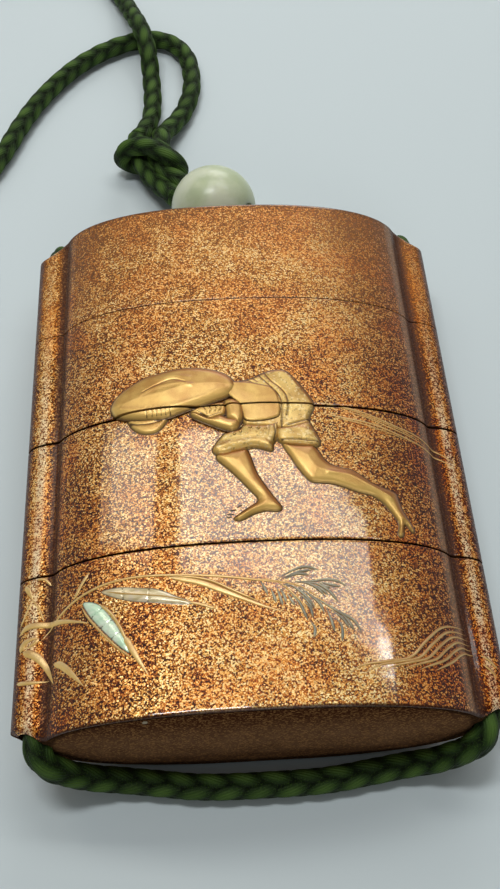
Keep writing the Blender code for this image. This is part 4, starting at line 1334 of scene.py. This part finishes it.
def grain_ear():
    """A drooping ear: slim curved grains that hang from branches fanning out of the stem."""
    grains = (
        [(2.4, -23.4), (4.1, -22.4), (5.9, -21.9), (7.6, -22.4)],
        [(2.8, -23.4), (4.8, -22.6), (6.7, -22.3)],
        [(3.2, -23.5), (4.8, -22.8), (6.3, -23)],
        [(4.2, -23.8), (6.5, -23.8), (8.3, -23.6), (9.7, -23.9), (10.7, -24.6)],
        [(7.3, -23.8), (8.3, -24.2), (9.9, -24.6)],
        [(7.3, -23.9), (8, -24.5), (8.7, -24.7)],
        [(4.2, -23.9), (5.7, -24), (7, -24.7), (7.9, -25.8)],
        [(5, -23.9), (6.8, -24.1), (8.3, -25), (9.5, -26.7)],
        [(6.5, -24.2), (7.6, -24.9), (8.3, -25.7)],
        [(2.2, -24.1), (3.9, -24.3), (5.4, -25.5), (6.6, -27.2)],
        [(4.7, -24.4), (6.1, -25.6), (7.2, -26.8), (7.6, -28)],
        [(4.8, -25.4), (5.7, -26.3), (6.3, -27.4)],
        [(5.6, -25.2), (7.6, -26.6), (9.4, -27.9), (11, -28.9), (11.8, -30.6)],
        [(9.3, -27.9), (10.3, -28.9), (10.9, -30.2)],
        [(8.4, -27.5), (9.7, -28.7), (10.4, -29.9)],
        [(7.9, -27.3), (8.3, -28.7), (8.6, -30.3)],
        [(8.7, -28.3), (9.4, -29.4), (9.5, -30.4), (9.3, -31.6)],
        [(3.6, -25), (4.8, -26.6), (5.3, -28), (5.6, -28.9)],
        [(5.3, -26.4), (6, -27.3), (6.2, -28.5)],
        [(5.8, -28.8), (6.3, -29.9), (6.1, -31)],
        [(0.2, -23.3), (0.7, -24.3), (1.1, -25.4)],
        [(1.5, -24.5), (1.8, -25.5), (2, -26.4)],
        [(2.2, -24.3), (2.5, -25.6), (2.8, -26.9)],
        [(2.5, -24.5), (3, -25.5), (3.2, -26.5)],
        [(3.4, -25.3), (3.8, -26.1), (4.2, -26.9)],
    )
    branches = (
        [(0, -23.2), (2.6, -23.7), (5, -24.4), (7.4, -26.2), (9, -28)],
        [(2.4, -23.7), (3.8, -25), (5.2, -26.8), (5.9, -28.9)],
    )
    stems = [(stroke(line, 0.20, 0.10, (0.1, 0.5)), BLADE) for line in branches]
    return stems + [
        (stroke(grain, 0.38, 0.16, (0.6, 0.8), step=0.15, lit=0.24), PEWTER) for grain in grains
    ]


# In the order of the paint numbers
RELIEF_PAINTS = (
    relief_gold(),
    relief_gold("robe_gold", (220, 188, 108), (182, 140, 68), 0.38),
    relief_gold("pewter_grain", (176, 174, 152), (92, 98, 92), shine_and_painted_light=0.3),
    relief_gold("blade_gold", (238, 208, 146), (212, 168, 104)),
    shell_inlay("mint_shell", (232, 250, 224), (204, 238, 204)),
    shell_inlay("grey_shell", (236, 220, 176), (196, 178, 132)),
)

FACE_SHAPES = figure_shapes() + wind_and_water() + reeds() + grain_ear()
for index, tier in enumerate(("lower", "middle", "upper")):
    relief_piece(f"relief_{tier}", FACE_SHAPES, RELIEF_PAINTS, *tier_ends(index))


# Floor and lights


FLOOR_HALF, FLOOR_DROP = 1.5, 0.00002
WARM, AMBER = (1, 0.97, 0.92), (1, 0.88, 0.74)


def build_stage():
    corners = [(x * FLOOR_HALF, y * FLOOR_HALF, 0) for x, y in ((-1, -1), (1, -1), (1, 1), (-1, 1))]
    floor = link("floor", mesh_of("floor", corners, [(0, 1, 2, 3)]), floor_paint())
    floor.location.z = -FLOOR_DROP


def area_light(name, place, size, power, colour=(1, 1, 1), roll=0.0, target=None):
    """A light that shines straight down where it has no target."""
    target = target or (place[0], place[1], 0)
    data = bpy.data.lights.new(name, "AREA")
    data.shape = "RECTANGLE"
    data.size, data.size_y = size
    data.energy = power
    data.color = colour
    light = bpy.data.objects.new(name, data)
    aim = Vector(target) - Vector(place)
    turn = aim.to_track_quat("-Z", "Y").to_matrix().to_4x4()
    roll = Matrix.Rotation(math.radians(roll), 4, "Z")
    light.matrix_world = Matrix.Translation(place) @ turn @ roll
    bpy.context.scene.collection.objects.link(light)


def build_lights():
    area_light("overhead", (-0.12, 0.07, 0.60), (0.24, 0.08), 1.2)
    area_light(
        "behind", (0.14, 0.75, 0.36), (0.4, 0.3), 1.4, (1, 0.99, 0.97), target=(0, 0.05, 0)
    )
    area_light("front", (0.02, -0.50, 0.32), (0.3, 0.16), 0.34, WARM, target=(0, 0, 0.01))
    area_light("window", (0.11, 0.31, 0.60), (0.50, 0.125), 1.2, WARM, -6)
    area_light("small_window", (0.385, 0.238, 0.60), (0.07, 0.03), 0.13, WARM)
    area_light("left_window", (-0.43, 0.42, 0.60), (0.42, 0.12), 0.34, AMBER, -20)
    area_light("left_glow", (-0.36, 0.40, 0.59), (0.29, 0.10), 0.24, AMBER, -20)


def build_world():
    """A soft room light that is weaker from the viewer's side."""
    world = bpy.data.worlds.new("studio")
    bpy.context.scene.world = world
    world.use_nodes = True
    tree = world.node_tree
    background = tree.nodes["Background"]
    background.inputs["Color"].default_value = (0.94, 0.96, 0.95, 1)
    direction = tree.nodes.new("ShaderNodeTexCoord")
    split = tree.nodes.new("ShaderNodeSeparateXYZ")
    fade = tree.nodes.new("ShaderNodeMapRange")
    tree.links.new(direction.outputs["Generated"], split.inputs[0])
    tree.links.new(split.outputs["Y"], fade.inputs["Value"])
    for name, value in (("From Min", -0.5), ("From Max", 0.25), ("To Min", 0.06), ("To Max", 0.29)):
        fade.inputs[name].default_value = value
    tree.links.new(fade.outputs["Result"], background.inputs["Strength"])


build_stage()
build_lights()
build_world()
bpy.context.scene.view_settings.view_transform = "Standard"
